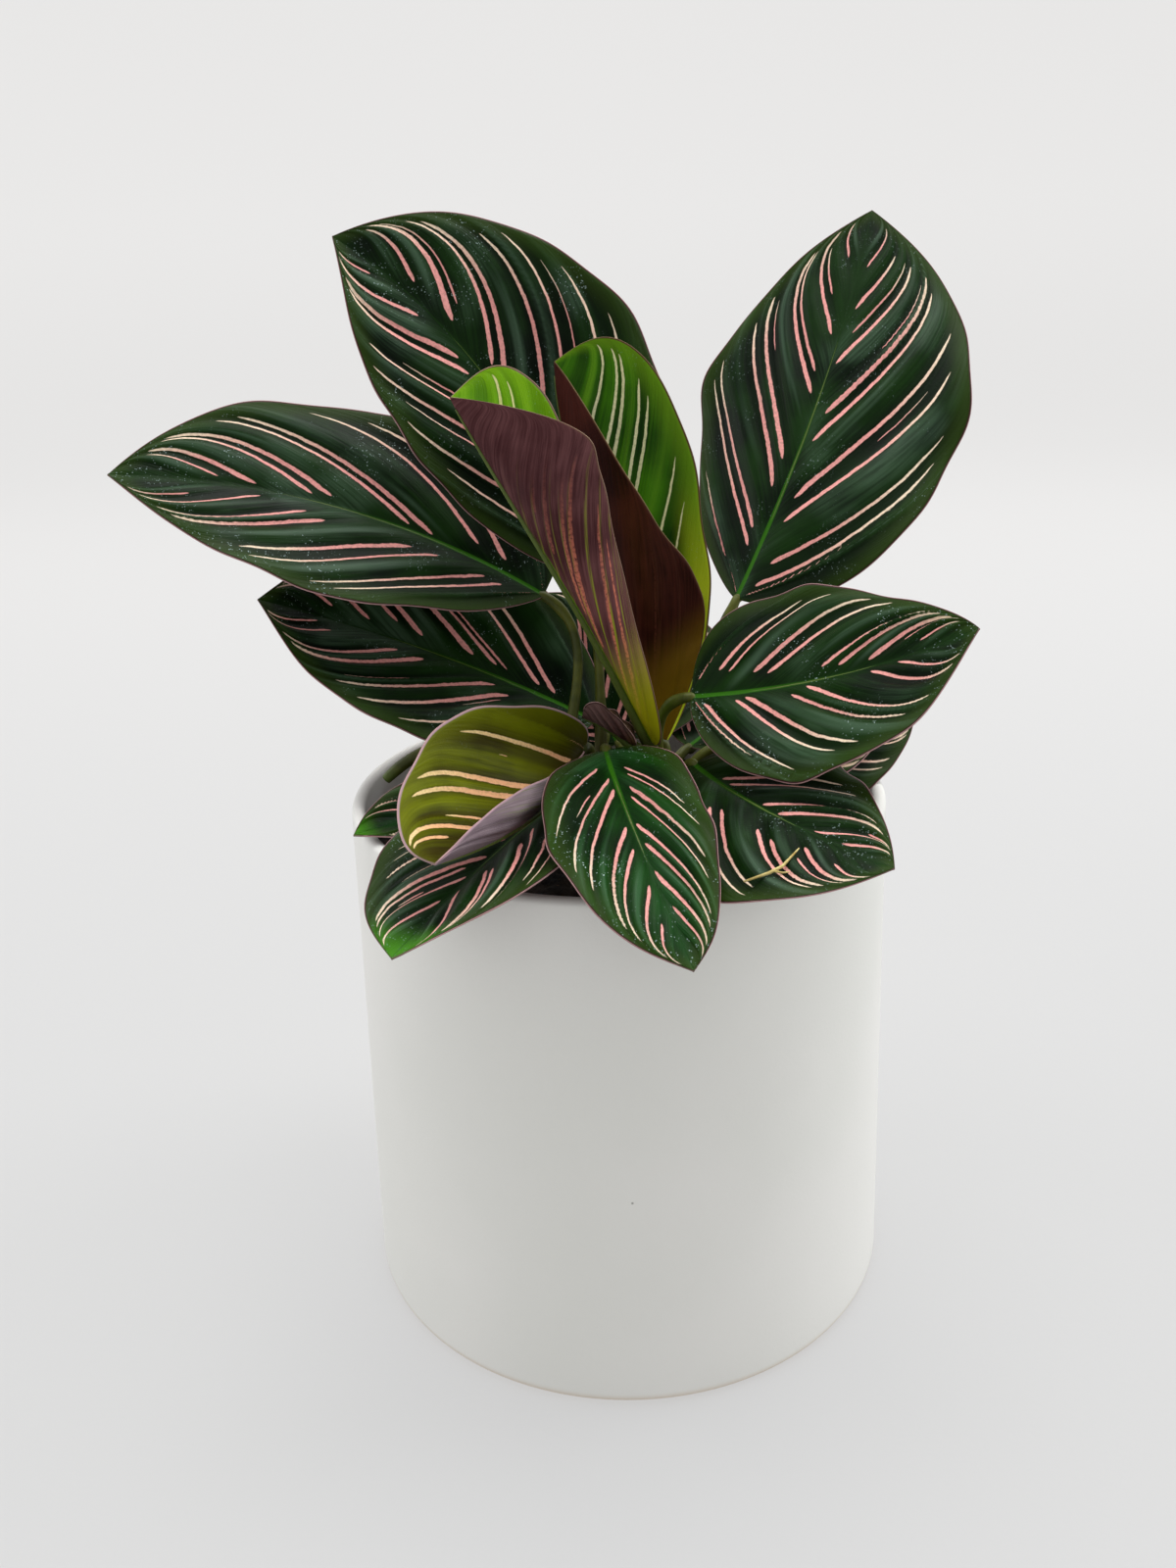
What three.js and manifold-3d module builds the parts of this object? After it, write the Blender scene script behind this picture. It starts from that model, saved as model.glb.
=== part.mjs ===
// A potted pinstripe calathea: a straight pale pot, its soil, and the leaves on their stems.
// Millimetres, +Z up. The origin is the centre of the pot's underside, +X is right and +Y is back.
import * as THREE from 'three';
import { mergeVertices } from 'three/addons/utils/BufferGeometryUtils.js';
import Module from 'manifold-3d';

const wasm = await Module();
wasm.setup();

// Driving dimensions
const POT = {
  height: 126, baseRadius: 66, rimRadius: 65, wall: 3.2, floor: 4, footRound: 2.5, segments: 40,
};
const SOIL = { edge: 111, crown: 116, sideGap: 0.3, holeGap: 0.35, holeSides: 8 };
const BLADE = { thickness: 0.8, ribRaise: 0.5, stations: 11, columns: 4, ownNormalFrom: 7 };
const TIP = { start: 0.965, width: 0.13 };
const STEM = {
  rootRadius: 2, bladeRadius: 1.2, endRadius: 0.6, depth: 20, sink: 3, rise: 0.45, lean: 0.35,
  sides: 6, steps: 6,
};

const radians = THREE.MathUtils.degToRad;
const vector = (point) => new THREE.Vector3(...point);

// Open leaves. heading and rise point the rib at its base, in degrees; turn, droop and twist are what
// heading, rise and roll change by along it. A half has its width in mm, the angle it folds up at the
// rib, the angle it curls by out to the margin, and how blunt the blade is at its base and tip.
const half = (width, fold, curl, base, tip) => ({ width, fold, curl, base, tip });
const openLeaves = [
  {
    name: 'leaf_upper_left', root: [-4, 6], base: [-7, 17, 176], length: 102,
    heading: 166, turn: 9, rise: 76, droop: 43, roll: -57, twist: 3,
    left: half(28, 14, -8, 0.68, 0.68), right: half(38, 15, -7, 0.46, 0.63),
  },
  {
    name: 'leaf_left', root: [-14, 1], base: [-17, 18.5, 169.8], length: 110,
    heading: 176, turn: 16, rise: 33, droop: 29, roll: -34, twist: -8,
    left: half(31, 13, -9, 0.75, 0.8), right: half(31, 14, -8, 0.43, 0.63),
  },
  {
    name: 'leaf_lower_left', root: [-8, 10], base: [-5, 16, 137], length: 90,
    heading: 179, turn: 5, rise: 29, droop: 12, roll: -37, twist: 0,
    left: half(30, 15, -7, 0.72, 0.67), right: half(32, 16, -6, 0.53, 0.46),
  },
  {
    name: 'leaf_upper_right', root: [9, 8], base: [32, 24, 166], length: 114,
    heading: 33, turn: 31, rise: 58, droop: 4, roll: 10, twist: -4,
    left: half(35, 4, -18, 0.75, 0.74), right: half(39, 3, -19, 0.49, 0.62),
  },
  {
    name: 'leaf_right', root: [11, -4], base: [17.5, -9.5, 151], length: 69,
    heading: -19, turn: -9, rise: 8, droop: -21, roll: 39, twist: -5,
    left: half(27, 11, -12, 0.38, 0.78), right: half(29, 11, -11, 0.6, 0.65),
  },
  {
    name: 'leaf_front_right', root: [14, -9], base: [18, -12, 135], length: 67,
    heading: -75, turn: 35, rise: 3, droop: 10, roll: 22, twist: -5,
    left: half(22, 8, -15, 0.4, 0.66), right: half(30, 8, -11, 0.46, 0.56),
  },
  {
    name: 'leaf_front', root: [2, -14], base: [-3, -20, 142], length: 72,
    heading: -86, turn: 18, rise: 1, droop: 36, roll: 1, twist: -1,
    left: half(16.3, 14, -8, 0.36, 0.55), right: half(19.5, 13, -10, 0.75, 0.64),
  },
  {
    name: 'leaf_front_left', root: [-10, -4], base: [-10, -9, 128], length: 82,
    heading: -111.5, turn: -9, rise: 9, droop: 24, roll: 0, twist: 11,
    left: half(24, 13, -12, 0.47, 0.72), right: half(24, 14, -12, 0.57, 0.57),
  },
  {
    name: 'leaf_small_left', root: [-15, -7], base: [-16, -9, 126], length: 50,
    heading: 207, turn: 0, rise: 11, droop: 18, roll: -14, twist: 0,
    left: half(11, 12, -10, 0.5, 0.6), right: half(14, 12, -10, 0.5, 0.6),
  },
  {
    name: 'leaf_under_right', root: [16, -2], base: [24, -1, 130], length: 39,
    heading: -1, turn: 0, rise: 6, droop: 0, roll: 22, twist: 0,
    left: half(12, 10, -8, 0.5, 0.6), right: half(12, 10, -8, 0.5, 0.6),
  },
  {
    name: 'leaf_back_right', root: [15, 5], base: [27, 9, 132], length: 52,
    heading: 11, turn: -3, rise: 10, droop: 2, roll: 32, twist: 0,
    left: half(20, 12, -10, 0.5, 0.58), right: half(26, 10, -12, 0.44, 0.65),
  },
  {
    name: 'leaf_back_left', root: [0, 13], base: [1, 21, 129], length: 48,
    heading: 140, turn: 0, rise: 52, droop: 8, roll: -40, twist: 0,
    left: half(20, 12, -10, 0.5, 0.6), right: half(20, 12, -10, 0.5, 0.6),
  },
  {
    name: 'leaf_behind', root: [4, 17], base: [8, 23, 129], length: 56,
    heading: 82, turn: 4, rise: 34, droop: 14, roll: 0, twist: 0,
    left: half(20, 14, -10, 0.5, 0.6), right: half(20, 14, -10, 0.5, 0.6),
  },
  {
    name: 'leaf_behind_right', root: [13, 14], base: [19, 19, 128], length: 58,
    heading: 44, turn: 6, rise: 16, droop: 10, roll: 6, twist: 0,
    left: half(20, 14, -10, 0.5, 0.6), right: half(20, 14, -10, 0.5, 0.6),
  },
  {
    name: 'leaf_behind_left', root: [-6, 17], base: [-10, 22, 127], length: 58,
    heading: 132, turn: -4, rise: 16, droop: 12, roll: -6, twist: 0,
    left: half(20, 14, -10, 0.5, 0.6), right: half(20, 14, -10, 0.5, 0.6),
  },
];

// Rolled young leaves. The rib runs through its points. From it each half bows out by belly and ends
// at margin, both given at the blade's base, middle and tip. Both shrink with the outline, and the
// belly faster, so that the blade lies flat at its ends.
const rolledLeaves = [
  {
    name: 'rolled_leaf_front', root: [6, -6],
    rib: [[8, -10, 140], [-6, -19, 172], [-21, -26, 201], [-33, -30, 224]],
    near: {
      margin: [[9, -5, -4], [13, -7, 12], [46, -9, -2]],
      belly: [[2, -10, 2], [4, -12, 2], [8, -7, 2]],
      base: 0.46, tip: 0.62,
    },
    far: {
      margin: [[2, 7, 6], [9, 14, 12], [15, 17, 19]],
      belly: [[-3, 9, 0], [-2, 11, 2], [4, 11, 4]],
      base: 0.6, tip: 0.5,
    },
  },
  {
    name: 'rolled_leaf_back', root: [8, 2],
    rib: [[12, 3, 135], [3, 5, 165], [-7, 6, 198], [-12, 6, 228]],
    near: {
      margin: [[27, 0, 34], [16, -11, 6], [15, -12, 0]],
      belly: [[2, -7, 0], [0, -9, 0], [0, -8, 0]],
      base: 0.9, tip: 0.95,
    },
    far: {
      margin: [[14, 14, 6], [26, 8, 2], [30, 7, 26]],
      belly: [[3, 9, 0], [6, 9, 0], [10, 9, 2]],
      base: 0.6, tip: 0.55,
    },
  },
  {
    name: 'dry_sheath', root: [8, -12],
    rib: [[4, -14, 141], [1, -15, 144], [-3, -16, 147], [-8, -16, 149]],
    near: {
      margin: [[2, -6, 3], [-1, -3, 6], [0, -3, 6]],
      belly: [[0, -4, 0], [-1, -5, 1], [0, -5, 1]],
      base: 0.5, tip: 0.4,
    },
    far: {
      margin: [[2, 6, 1], [1, 6, 2], [0, 6, 2]],
      belly: [[0, 1, 0], [0, 2, 0], [0, 2, 0]],
      base: 0.5, tip: 0.4,
    },
  },
  {
    name: 'young_leaf_left', root: [-6, -10],
    rib: [[-8, -11, 139], [-17, -36, 136], [-27, -57, 137], [-37, -75, 140]],
    near: {
      margin: [[1, -6, 2], [-1, -1, 7], [1, -3, 4]],
      belly: [[1, -4, 0], [3, -4, 4], [3, -3, 2]],
      base: 0.5, tip: 0.58,
    },
    far: {
      margin: [[7, 13, 12], [-13, 10, 21], [-17, 3, 3]],
      belly: [[-2, 12, 4], [-8, 10, 2], [-8, 6, 2]],
      base: 0.5, tip: 0.5,
    },
  },
];

// A stem that lost its leaf: it arches over the two points and ends cut off.
const cutStem = {
  name: 'cut_stem', root: [-18, 0], over: [[-21, 0, 144], [-44, 0, 142]], end: [-57, 0, 129], radius: 1.5,
};

// Half the blade's width at x along the rib, as a share of its widest: blunt, with a short
// drawn-out tip.
function outline(x, base, tip) {
  const widest = base / (base + tip);
  const u = Math.min(x / TIP.start, 1);
  const body = (u / widest) ** base * ((1 - u) / (1 - widest)) ** tip;
  const { clamp } = THREE.MathUtils;
  const cusp = TIP.width * clamp((1 - x) / 0.1, 0, 1) * clamp((x - 0.5) / 0.3, 0, 1);
  return (body ** 4 + cusp ** 4) ** 0.25;
}

// The curve through evenly spaced points, at x from 0 to 1.
function through(points, x) {
  const last = points.length - 1;
  const sum = new THREE.Vector3();
  points.forEach((point, i) => {
    let weight = 1;
    for (let j = 0; j <= last; j += 1) {
      if (j !== i) weight *= (x * last - j) / (i - j);
    }
    sum.addScaledVector(vector(point), weight);
  });
  return sum;
}

// The point of an open leaf at x along the rib and v across it, from -1 at the right margin to 1.
function openSurface(leaf) {
  const steps = 40;
  const ribs = [vector(leaf.base)];
  const heading = (x) => radians(leaf.heading + leaf.turn * x);
  const rise = (x) => radians(leaf.rise - leaf.droop * x);
  const along = (x) => new THREE.Vector3(
    Math.cos(rise(x)) * Math.cos(heading(x)),
    Math.cos(rise(x)) * Math.sin(heading(x)),
    Math.sin(rise(x)),
  );
  for (let i = 0; i < steps; i += 1) {
    ribs.push(ribs[i].clone().addScaledVector(along((i + 0.5) / steps), leaf.length / steps));
  }
  return (x, v) => {
    const i = Math.min(Math.floor(x * steps), steps - 1);
    const rib = ribs[i].clone().lerp(ribs[i + 1], x * steps - i);
    const tangent = along(x);
    const level = new THREE.Vector3(-Math.sin(heading(x)), Math.cos(heading(x)), 0);
    const normal = tangent.clone().cross(level);
    const roll = radians(leaf.roll + leaf.twist * x);
    level.applyAxisAngle(tangent, roll);
    normal.applyAxisAngle(tangent, roll);
    const side = v < 0 ? leaf.right : leaf.left;
    const width = side.width * outline(x, side.base, side.tip);
    const fold = radians(side.fold);
    const curl = radians(side.curl);
    const t = Math.abs(v);
    const out = (Math.sin(fold + curl * t) - Math.sin(fold)) / curl;
    const up = (Math.cos(fold) - Math.cos(fold + curl * t)) / curl;
    return rib.addScaledVector(level, Math.sign(v) * width * out).addScaledVector(normal, width * up);
  };
}

// The same for a rolled leaf: v is 1 at the near margin and -1 at the far one.
function rolledSurface(leaf) {
  return (x, v) => {
    const side = v < 0 ? leaf.far : leaf.near;
    const width = outline(x, side.base, side.tip);
    const t = Math.abs(v);
    const bow = width * t * (1 - t);
    return through(leaf.rib, x)
      .addScaledVector(through(side.belly, x), bow * 2 * width)
      .addScaledVector(through(side.margin, x), width * t * t + bow * (1 - width));
  };
}

// The unit normal of a surface, on its upper face.
function normalAt(surface, x, v) {
  const step = 0.01;
  const inner = THREE.MathUtils.clamp(x, 0.02, 0.94);
  const toward = (target) => surface(inner, target).sub(surface(inner, v)).normalize();
  const across = v === 0
    ? toward(step).sub(toward(-step))
    : toward(v + step * Math.sign(-v)).multiplyScalar(Math.sign(-v));
  const along = surface(inner + step, v).sub(surface(inner - step, v));
  return along.cross(across).normalize();
}

// A blade as one closed solid. Both faces are split into triangles alike, and the rib is raised below.
function bladeGeometry(surface) {
  const rows = [];
  for (let i = 0; i <= BLADE.stations; i += 1) {
    rows.push(TIP.start * (0.5 - 0.5 * Math.cos((Math.PI * i) / BLADE.stations)));
  }
  rows.push(1);
  const columns = [];
  for (let j = -BLADE.columns; j <= BLADE.columns; j += 1) columns.push(j / BLADE.columns);
  const positions = [];
  const indices = [];
  const grid = [];
  rows.forEach((x, i) => {
    const end = i === 0 || i === rows.length - 1;
    const cells = (end ? [0] : columns).map((v) => {
      const point = surface(x, v);
      const halfWidth = surface(x, Math.sign(v)).distanceTo(surface(x, 0));
      const own = Math.min(1, halfWidth / BLADE.ownNormalFrom);
      const normal = normalAt(surface, x, 0).lerp(normalAt(surface, x, v), own).normalize();
      const top = point.clone().addScaledVector(normal, BLADE.thickness / 2);
      const below = BLADE.thickness / 2 + (v === 0 && !end ? BLADE.ribRaise : 0);
      const bottom = point.clone().addScaledVector(normal, -below);
      positions.push(...top.toArray(), ...bottom.toArray());
      return positions.length / 3 - 2;
    });
    grid.push(end ? columns.map(() => cells[0]) : cells);
  });
  const triangle = (a, b, c) => {
    if (a !== b && b !== c && a !== c) indices.push(a, b, c);
  };
  for (let i = 0; i < rows.length - 1; i += 1) {
    for (let j = 0; j < columns.length - 1; j += 1) {
      const a = grid[i][j];
      const b = grid[i + 1][j];
      const c = grid[i + 1][j + 1];
      const d = grid[i][j + 1];
      triangle(a, b, c);
      triangle(a, c, d);
      triangle(a + 1, c + 1, b + 1);
      triangle(a + 1, d + 1, c + 1);
    }
    const right = [grid[i][0], grid[i + 1][0]];
    const left = [grid[i][columns.length - 1], grid[i + 1][columns.length - 1]];
    triangle(right[0], right[0] + 1, right[1] + 1);
    triangle(right[0], right[1] + 1, right[1]);
    triangle(left[0], left[1] + 1, left[0] + 1);
    triangle(left[0], left[1], left[1] + 1);
  }
  const geometry = new THREE.BufferGeometry();
  geometry.setAttribute('position', new THREE.Float32BufferAttribute(positions, 3));
  geometry.setIndex(indices);
  return geometry;
}

// A stem from its root in the soil up to the blade, into whose rib it runs on for a little way.
function stemGeometry(leaf, surface) {
  const foot = vector([...leaf.root, SOIL.crown - STEM.depth]);
  const collar = vector([...leaf.root, SOIL.crown + 1]);
  const joint = surface(0, 0);
  const intoBlade = surface(0.03, 0).sub(joint).normalize();
  const reach = collar.distanceTo(joint);
  const upper = new THREE.CubicBezierCurve3(
    collar,
    collar.clone().add(new THREE.Vector3(0, 0, reach * STEM.rise)),
    joint.clone().addScaledVector(intoBlade, -reach * STEM.lean),
    joint,
  );
  const centres = [foot];
  for (let i = 0; i <= STEM.steps; i += 1) centres.push(upper.getPoint(i / STEM.steps));
  centres.push(joint.clone().addScaledVector(intoBlade, STEM.sink));
  const radii = centres.map((_, i) => {
    const up = THREE.MathUtils.clamp((i - 1) / STEM.steps, 0, 1);
    return STEM.rootRadius + (STEM.bladeRadius - STEM.rootRadius) * Math.min(1, up * 2);
  });
  radii[radii.length - 1] = STEM.endRadius;
  return tube(centres, radii, STEM.sides);
}

// The leafless stem, of one thickness.
function cutStemGeometry({ root, over, end, radius }) {
  const foot = vector([...root, SOIL.crown - STEM.depth]);
  const arch = new THREE.CubicBezierCurve3(vector([...root, SOIL.crown]), ...over.map(vector), vector(end));
  const centres = [foot];
  for (let i = 0; i <= STEM.steps; i += 1) centres.push(arch.getPoint(i / STEM.steps));
  return tube(centres, centres.map(() => radius), STEM.sides);
}

// A closed tube of changing radius along points, with its first ring level.
function tube(centres, radii, sides) {
  const positions = [];
  const indices = [];
  let across = new THREE.Vector3(1, 0, 0);
  centres.forEach((centre, i) => {
    const before = centres[Math.max(i - 1, 0)];
    const after = centres[Math.min(i + 1, centres.length - 1)];
    const along = after.clone().sub(before).normalize();
    if (i < 2) along.set(0, 0, 1);
    across = across.sub(along.clone().multiplyScalar(across.dot(along))).normalize();
    const beside = along.clone().cross(across);
    for (let k = 0; k < sides; k += 1) {
      const angle = (2 * Math.PI * k) / sides;
      const point = centre.clone()
        .addScaledVector(across, radii[i] * Math.cos(angle))
        .addScaledVector(beside, radii[i] * Math.sin(angle));
      positions.push(...point.toArray());
    }
    across = across.clone();
  });
  for (let i = 0; i < centres.length - 1; i += 1) {
    for (let k = 0; k < sides; k += 1) {
      const next = (k + 1) % sides;
      const a = i * sides + k;
      const b = i * sides + next;
      indices.push(a, b, b + sides, a, b + sides, a + sides);
    }
  }
  const last = (centres.length - 1) * sides;
  for (let k = 1; k < sides - 1; k += 1) {
    indices.push(0, k + 1, k);
    indices.push(last, last + k, last + k + 1);
  }
  const geometry = new THREE.BufferGeometry();
  geometry.setAttribute('position', new THREE.Float32BufferAttribute(positions, 3));
  geometry.setIndex(indices);
  return geometry;
}

// Between three.js geometry and solids that can be joined and cut
function toSolid(geometry) {
  let bare = geometry.clone();
  bare.deleteAttribute('normal');
  bare.deleteAttribute('uv');
  bare = mergeVertices(bare, 1e-4);
  return new wasm.Manifold(new wasm.Mesh({
    numProp: 3,
    vertProperties: new Float32Array(bare.attributes.position.array),
    triVerts: new Uint32Array(bare.index.array),
  }));
}

function toGeometry(solid) {
  const mesh = solid.getMesh();
  const geometry = new THREE.BufferGeometry();
  geometry.setAttribute('position', new THREE.BufferAttribute(new Float32Array(mesh.vertProperties), 3));
  geometry.setIndex(new THREE.BufferAttribute(new Uint32Array(mesh.triVerts), 1));
  geometry.computeVertexNormals();
  return geometry;
}

// A turned shape about +Z from its profile of [radius, height] points
function turned(profile, segments) {
  const geometry = new THREE.LatheGeometry(profile.map(([r, z]) => new THREE.Vector2(r, z)), segments);
  return geometry.rotateX(Math.PI / 2);
}

// The pot: straight sides, a rounded foot and lip, and a flat floor inside and out.
function potGeometry() {
  const { height, baseRadius, rimRadius, wall, floor, footRound, segments } = POT;
  const lip = wall / 2;
  const profile = [[0, 0], [baseRadius - footRound, 0]];
  profile.push([baseRadius - footRound * 0.3, footRound * 0.3], [baseRadius, footRound]);
  for (const angle of [0, 45, 90, 135, 180].map(radians)) {
    profile.push([rimRadius - lip + lip * Math.cos(angle), height - lip + lip * Math.sin(angle)]);
  }
  profile.push([baseRadius - wall, floor], [0, floor]);
  return turned(profile, segments);
}

// The soil: heaped a little toward the middle, with a plain hole for each stem.
function soilGeometry(leaves) {
  const radius = POT.rimRadius - POT.wall - SOIL.sideGap;
  const profile = [
    [0, POT.floor], [radius, POT.floor], [radius, SOIL.edge],
    [radius * 0.55, SOIL.edge + 2], [radius * 0.3, SOIL.crown], [0, SOIL.crown],
  ];
  let solid = toSolid(turned(profile, POT.segments));
  for (const leaf of leaves) {
    const hole = new THREE.CylinderGeometry(1, 1, STEM.depth * 2, SOIL.holeSides);
    const radiusOfHole = (STEM.rootRadius + SOIL.holeGap) / Math.cos(Math.PI / SOIL.holeSides);
    hole.rotateX(Math.PI / 2).scale(radiusOfHole, radiusOfHole, 1);
    hole.translate(leaf.root[0], leaf.root[1], SOIL.crown - SOIL.holeGap);
    solid = solid.subtract(toSolid(hole));
  }
  return toGeometry(solid);
}

const materials = {
  pot: new THREE.MeshStandardMaterial({ color: 0xe9e7e2, roughness: 0.6, metalness: 0 }),
  soil: new THREE.MeshStandardMaterial({ color: 0x1b1410, roughness: 1, metalness: 0 }),
  stem: new THREE.MeshStandardMaterial({ color: 0x4a5a20, roughness: 0.5, metalness: 0 }),
  leaf: new THREE.MeshStandardMaterial({ color: 0x24401f, roughness: 0.45, metalness: 0 }),
  youngLeaf: new THREE.MeshStandardMaterial({ color: 0x6e6a1c, roughness: 0.45, metalness: 0 }),
  rolledLeaf: new THREE.MeshStandardMaterial({ color: 0x5a3a38, roughness: 0.45, metalness: 0 }),
};

// A leaf: its blade and stem joined into one solid.
function leafMesh(leaf, surface, material) {
  const joined = toSolid(bladeGeometry(surface)).add(toSolid(stemGeometry(leaf, surface)));
  const mesh = new THREE.Mesh(toGeometry(joined), material);
  mesh.name = leaf.name;
  return mesh;
}

const plant = new THREE.Group();
const potMesh = new THREE.Mesh(potGeometry(), materials.pot);
potMesh.name = 'pot';
const soilMesh = new THREE.Mesh(soilGeometry([...openLeaves, ...rolledLeaves, cutStem]), materials.soil);
soilMesh.name = 'soil';
plant.add(potMesh, soilMesh);
for (const leaf of openLeaves) plant.add(leafMesh(leaf, openSurface(leaf), materials.leaf));
for (const leaf of rolledLeaves) {
  const material = leaf.name.startsWith('young') ? materials.youngLeaf : materials.rolledLeaf;
  plant.add(leafMesh(leaf, rolledSurface(leaf), material));
}

const cutStemMesh = new THREE.Mesh(cutStemGeometry(cutStem), materials.stem);
cutStemMesh.name = cutStem.name;
plant.add(cutStemMesh);

export default plant;
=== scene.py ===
# Looks of the potted pinstripe calathea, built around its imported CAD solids.
# Leaves, stems, pot and soil repeat the solids' driving values in millimetres and are finer in
# mesh. Every blade carries its own coordinates, and its stripes are drawn along its veins.
import math
from functools import cache

import bmesh
import bpy
import numpy as np
from mathutils import Euler, Matrix, Vector, noise


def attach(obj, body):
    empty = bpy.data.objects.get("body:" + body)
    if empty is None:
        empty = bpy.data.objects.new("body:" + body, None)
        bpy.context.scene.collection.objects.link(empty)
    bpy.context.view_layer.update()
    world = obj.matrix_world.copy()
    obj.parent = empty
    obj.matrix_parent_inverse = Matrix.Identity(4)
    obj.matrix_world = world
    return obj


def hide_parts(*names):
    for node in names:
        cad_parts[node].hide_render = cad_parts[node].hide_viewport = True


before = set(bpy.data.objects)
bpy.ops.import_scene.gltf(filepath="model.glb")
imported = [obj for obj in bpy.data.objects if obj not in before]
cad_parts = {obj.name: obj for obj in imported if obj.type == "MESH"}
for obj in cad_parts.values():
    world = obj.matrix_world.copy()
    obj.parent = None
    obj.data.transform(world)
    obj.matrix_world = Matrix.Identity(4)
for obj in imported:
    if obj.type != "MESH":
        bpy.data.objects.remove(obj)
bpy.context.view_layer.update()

MM = 0.001
BODY = "root"

# Driving values shared with the solids, in millimetres
POT = {"height": 126, "base_radius": 66, "rim_radius": 65, "wall": 3.2, "floor": 4, "foot_round": 2.5}
SOIL = {"edge": 111, "crown": 116}
STEM = {"root_radius": 2.0, "blade_radius": 1.2, "rise": 0.45, "lean": 0.35}
POINT = {"open": 4.2, "rolled": 14}


def half(width, fold, curl, base, tip):
    return {"width": width, "fold": fold, "curl": curl, "base": base, "tip": tip}


# Open leaves. heading and rise point the rib at its base, in degrees; turn, droop and twist are what
# heading, rise and roll change by along it. A half has its width, the angle it folds up at the rib,
# the angle it curls by out to the margin, and how blunt the blade is at its base and tip.
OPEN_LEAVES = {
    "leaf_upper_left": dict(
        root=(-4, 6), base=(-7, 17, 176), length=102,
        heading=166, turn=9, rise=76, droop=43, roll=-57, twist=3,
        left=half(28, 14, -8, 0.68, 0.68), right=half(38, 15, -7, 0.46, 0.63),
    ),
    "leaf_left": dict(
        root=(-14, 1), base=(-17, 18.5, 169.8), length=110,
        heading=176, turn=16, rise=33, droop=29, roll=-34, twist=-8,
        left=half(31, 13, -9, 0.75, 0.8), right=half(31, 14, -8, 0.43, 0.63),
    ),
    "leaf_lower_left": dict(
        root=(-8, 10), base=(-5, 16, 137), length=90,
        heading=179, turn=5, rise=29, droop=12, roll=-37, twist=0,
        left=half(30, 15, -7, 0.72, 0.67), right=half(32, 16, -6, 0.53, 0.46),
    ),
    "leaf_upper_right": dict(
        root=(9, 8), base=(32, 24, 166), length=114,
        heading=33, turn=31, rise=58, droop=4, roll=10, twist=-4,
        left=half(35, 4, -18, 0.75, 0.74), right=half(39, 3, -19, 0.49, 0.62),
    ),
    "leaf_right": dict(
        root=(11, -4), base=(17.5, -9.5, 151), length=69,
        heading=-19, turn=-9, rise=8, droop=-21, roll=39, twist=-5,
        left=half(27, 11, -12, 0.38, 0.78), right=half(29, 11, -11, 0.6, 0.65),
    ),
    "leaf_front_right": dict(
        root=(14, -9), base=(18, -12, 135), length=67, point=5,
        heading=-75, turn=35, rise=3, droop=10, roll=22, twist=-5,
        left=half(22, 8, -15, 0.4, 0.66), right=half(30, 8, -11, 0.46, 0.56),
    ),
    "leaf_front": dict(
        root=(2, -14), base=(-3, -20, 142), length=72, point=6,
        heading=-86, turn=18, rise=1, droop=36, roll=1, twist=-1,
        left=half(16.3, 14, -8, 0.36, 0.55), right=half(19.5, 13, -10, 0.75, 0.64),
    ),
    "leaf_front_left": dict(
        root=(-10, -4), base=(-10, -9, 128), length=82, point=6,
        heading=-111.5, turn=-9, rise=9, droop=24, roll=0, twist=11,
        left=half(24, 13, -12, 0.47, 0.72), right=half(24, 14, -12, 0.57, 0.57),
    ),
    "leaf_small_left": dict(
        root=(-15, -7), base=(-16, -9, 126), length=50,
        heading=207, turn=0, rise=11, droop=18, roll=-14, twist=0,
        left=half(11, 12, -10, 0.5, 0.6), right=half(14, 12, -10, 0.5, 0.6),
    ),
    "leaf_under_right": dict(
        root=(16, -2), base=(24, -1, 130), length=39,
        heading=-1, turn=0, rise=6, droop=0, roll=22, twist=0,
        left=half(12, 10, -8, 0.5, 0.6), right=half(12, 10, -8, 0.5, 0.6),
    ),
    "leaf_back_right": dict(
        root=(15, 5), base=(27, 9, 132), length=52,
        heading=11, turn=-3, rise=10, droop=2, roll=32, twist=0,
        left=half(20, 12, -10, 0.5, 0.58), right=half(26, 10, -12, 0.44, 0.65),
    ),
    "leaf_back_left": dict(
        root=(0, 13), base=(1, 21, 129), length=48,
        heading=140, turn=0, rise=52, droop=8, roll=-40, twist=0,
        left=half(20, 12, -10, 0.5, 0.6), right=half(20, 12, -10, 0.5, 0.6),
    ),
    "leaf_behind": dict(
        root=(4, 17), base=(8, 23, 129), length=56,
        heading=82, turn=4, rise=34, droop=14, roll=0, twist=0,
        left=half(20, 14, -10, 0.5, 0.6), right=half(20, 14, -10, 0.5, 0.6),
    ),
    "leaf_behind_right": dict(
        root=(13, 14), base=(19, 19, 128), length=58,
        heading=44, turn=6, rise=16, droop=10, roll=6, twist=0,
        left=half(20, 14, -10, 0.5, 0.6), right=half(20, 14, -10, 0.5, 0.6),
    ),
    "leaf_behind_left": dict(
        root=(-6, 17), base=(-10, 22, 127), length=58,
        heading=132, turn=-4, rise=16, droop=12, roll=-6, twist=0,
        left=half(20, 14, -10, 0.5, 0.6), right=half(20, 14, -10, 0.5, 0.6),
    ),
}

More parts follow.
